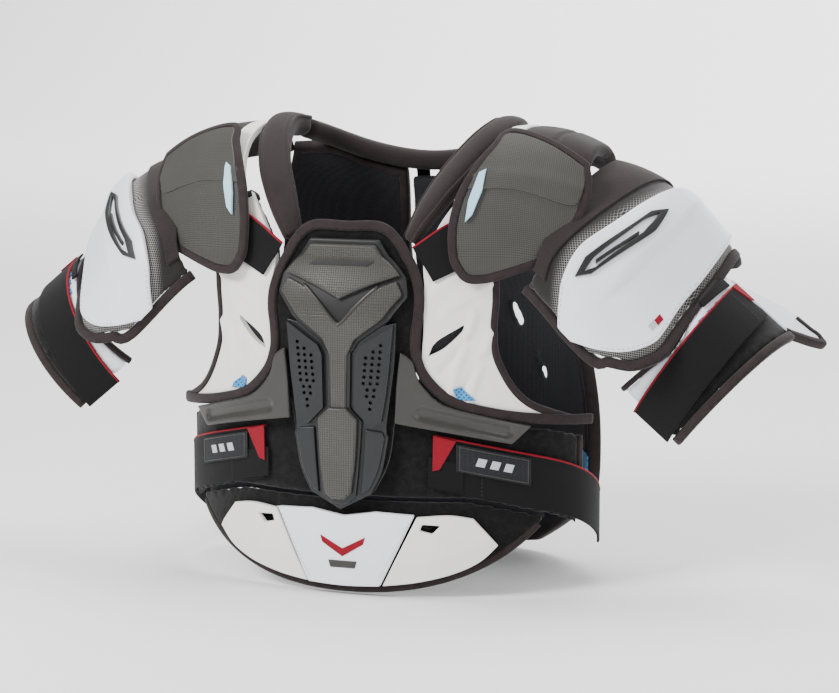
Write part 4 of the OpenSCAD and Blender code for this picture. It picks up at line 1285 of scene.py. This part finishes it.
loop_top = round_arm([(-34, 67.5), (0, 67.5), (40, 67.5), (81, 67.5)])
loop_low = round_arm([(81, 107), (60, 108), (40, 109), (20, 110), (0, 111), (-17, 112), (-34, 113)])
loop_panel = slab("arm_loop_panel_left", guard, between(loop_top, loop_low, 6), 0.6, 7.6, edge=2.2, cell=12)
swell(loop_panel, 0.004, 0.0006)
pair(paint(loop_panel, pile), "arm_guard_left", "arm_loop_panel_left", slot="loop_fabric", fill=0.4)
edge = tape("arm_loop_binding_left", guard, smooth(loop_low, 5, closed=False)[::-1], -0.8, 8.8, cover=7.5,
            proud=2.0, closed=False)
pair(paint(edge, binding), "arm_guard_left", slot="outer_fabric")

flare_edge = smooth(round_arm([(-37.5, 36, 1), (-37.5, 113, 1), (-45, 124), (-52, 134), (-61, 144, 1),
                               (-62, 118),
                               (-60.5, 88, 1), (-50, 62)]), 5)
flare = slab("arm_flare_left", guard, flare_edge, 0.5, 6.6, edge=2.0, cell=5)
pair(paint(flare, cap_white), "arm_guard_left", "arm_flare_left", slot="white_panel")
trim = smooth(round_arm([(-36, 112), (-45, 123), (-52, 133), (-60, 142), (-62, 132), (-61.4, 118),
                         (-60.5, 104)]), 4, closed=False)
edge = tape("arm_flare_trim_left", guard, trim, -0.8, 8.4, cover=6.5, proud=1.5, closed=False)
pair(paint(edge, binding), "arm_guard_left", slot="outer_fabric")

tie_edge = smooth(round_arm([(-20, 34.5, 1), (-6, 36, 1), (8, 37, 1), (8, 44, 1), (-6, 44), (-20, 44, 1)]), 5)
tie = slab("cap_tie_left", guard, tie_edge, 9.3, 11.6, edge=0.7, cell=6)
pair(paint(tie, elastic), "arm_guard_left", "cap_tie_left", slot="elastic")


def arm_strap_t(a):
    """How far down the arm the middle of its strap is."""
    return 83 - 0.14 * max(0, 86 - a)


top = [(a, arm_strap_t(a) - 21.5) for a in np.linspace(-24, 84, 19)]
low = [(a, arm_strap_t(a) + 21.5) for a in np.linspace(84, -24, 19)]
band = slab("arm_strap_left", guard, between(round_arm(top), round_arm(low), 6), 9.3, 11.6, edge=0.8, cell=6)
pair(paint(band, elastic), "arm_strap_body_left", "arm_strap_left", slot="elastic")
edge = tape("arm_strap_red_edge_left", guard, round_arm(top), 9.2, 12.0, cover=1.4, proud=0.8, closed=False,
            sides=8)
pair(paint(edge, red), "arm_strap_body_left", slot="red_web")
across_band = round_arm([(-14, arm_strap_t(-14) + k * 2 - 19) for k in range(20)])
row = stitches("arm_strap_stitches_left", guard, across_band, 11.7, 2.4, 1.3, 0.5)
pair(paint(row, thread_black), "arm_strap_body_left", slot="elastic")
pull = round_arm([(-25.5, arm_strap_t(-24) - 22, 1), (-19, arm_strap_t(-19) - 22, 1),
                  (-22.5, arm_strap_t(-22), 1),
                  (-25.5, arm_strap_t(-24) + 2, 1)])
tab = slab("arm_pull_left", guard, smooth(pull, 4), 11.5, 13.0, edge=0.4, cell=6)
pair(paint(tab, red), "arm_strap_body_left", slot="red_web")

# ---- Studio ----
# A pale floor that curves up into a backdrop, four soft boxes and a long lens.
lowest = cad_box[0].z
floor_half_w, floor_front, wall_y, wall_h = 12, -10, 9, 12
bpy.ops.object.select_all(action="DESELECT")
bpy.ops.mesh.primitive_plane_add(size=1, location=(0, 0, 0))
floor = bpy.context.object
floor.name = "studio_floor"
for vertex in floor.data.vertices:
    vertex.co = (vertex.co.x * 2 * floor_half_w, wall_y if vertex.co.y > 0 else floor_front, lowest - 0.003)
bpy.ops.object.mode_set(mode="EDIT")
bpy.ops.mesh.select_all(action="DESELECT")
bpy.ops.object.mode_set(mode="OBJECT")
for side in floor.data.edges:
    side.select = all(floor.data.vertices[k].co.y > 0 for k in side.vertices)
bpy.ops.object.mode_set(mode="EDIT")
bpy.ops.mesh.select_mode(type="EDGE")
bpy.ops.mesh.extrude_region_move(TRANSFORM_OT_translate={"value": (0, 0, wall_h)})
bpy.ops.object.mode_set(mode="OBJECT")
finish_with(floor, "BEVEL", width=3, segments=16, limit_method="ANGLE")
bpy.ops.object.shade_smooth()
paper, tree, shader = finish("white_studio_paper", "#ffffff", 0.9)
dress(tree, shader, None, noise(tree, add(tree, "TexCoord")["Object"], 400.0), 0.05, 0.0002)
floor.data.materials.append(paper)

world = bpy.data.worlds.new("studio")
bpy.context.scene.world = world
world.use_nodes = True
world.node_tree.nodes["Background"].inputs["Color"].default_value = (1.0, 1.0, 1.0, 1)
world.node_tree.nodes["Background"].inputs["Strength"].default_value = 0.62


def soft_box(name, place, aim, size, power):
    """A rectangular lamp of a size in metres and a power in watts, turned to a point."""
    lamp = bpy.data.lights.new(name, "AREA")
    lamp.energy = power
    lamp.shape = "RECTANGLE"
    lamp.size, lamp.size_y = size
    item = new_object(name, lamp)
    item.location = place
    item.rotation_euler = (Vector(aim) - Vector(place)).to_track_quat("-Z", "Y").to_euler()


soft_box("key", (-1.3, -1.9, 1.5), (0, 0, -0.2), (1.0, 1.0), 92)
soft_box("fill", (2.2, -1.6, 0.5), (0, 0, -0.2), (1.4, 1.6), 22)
soft_box("top", (0.3, 0.5, 1.9), (0, 0, -0.1), (2.0, 1.2), 52)
soft_box("backdrop", (0, 4.5, 5.0), (0, 9.0, 1.5), (6.0, 2.5), 900)

azimuth, elevation, distance = math.radians(20), math.radians(8), 2.6
away = Vector((math.sin(azimuth) * math.cos(elevation), -math.cos(azimuth) * math.cos(elevation),
               math.sin(elevation)))
aside = Vector((math.cos(azimuth), math.sin(azimuth), 0))
target = Vector((0, 0, -0.2)) + 0.0255 * aside - Vector((0, 0, 0.0015))
lens = bpy.data.cameras.new("camera")
lens.sensor_width = 36
lens.lens = 111.6
camera = new_object("camera", lens)
camera.location = target + away * distance
camera.rotation_euler = (-away).to_track_quat("-Z", "Y").to_euler()
bpy.context.scene.camera = camera
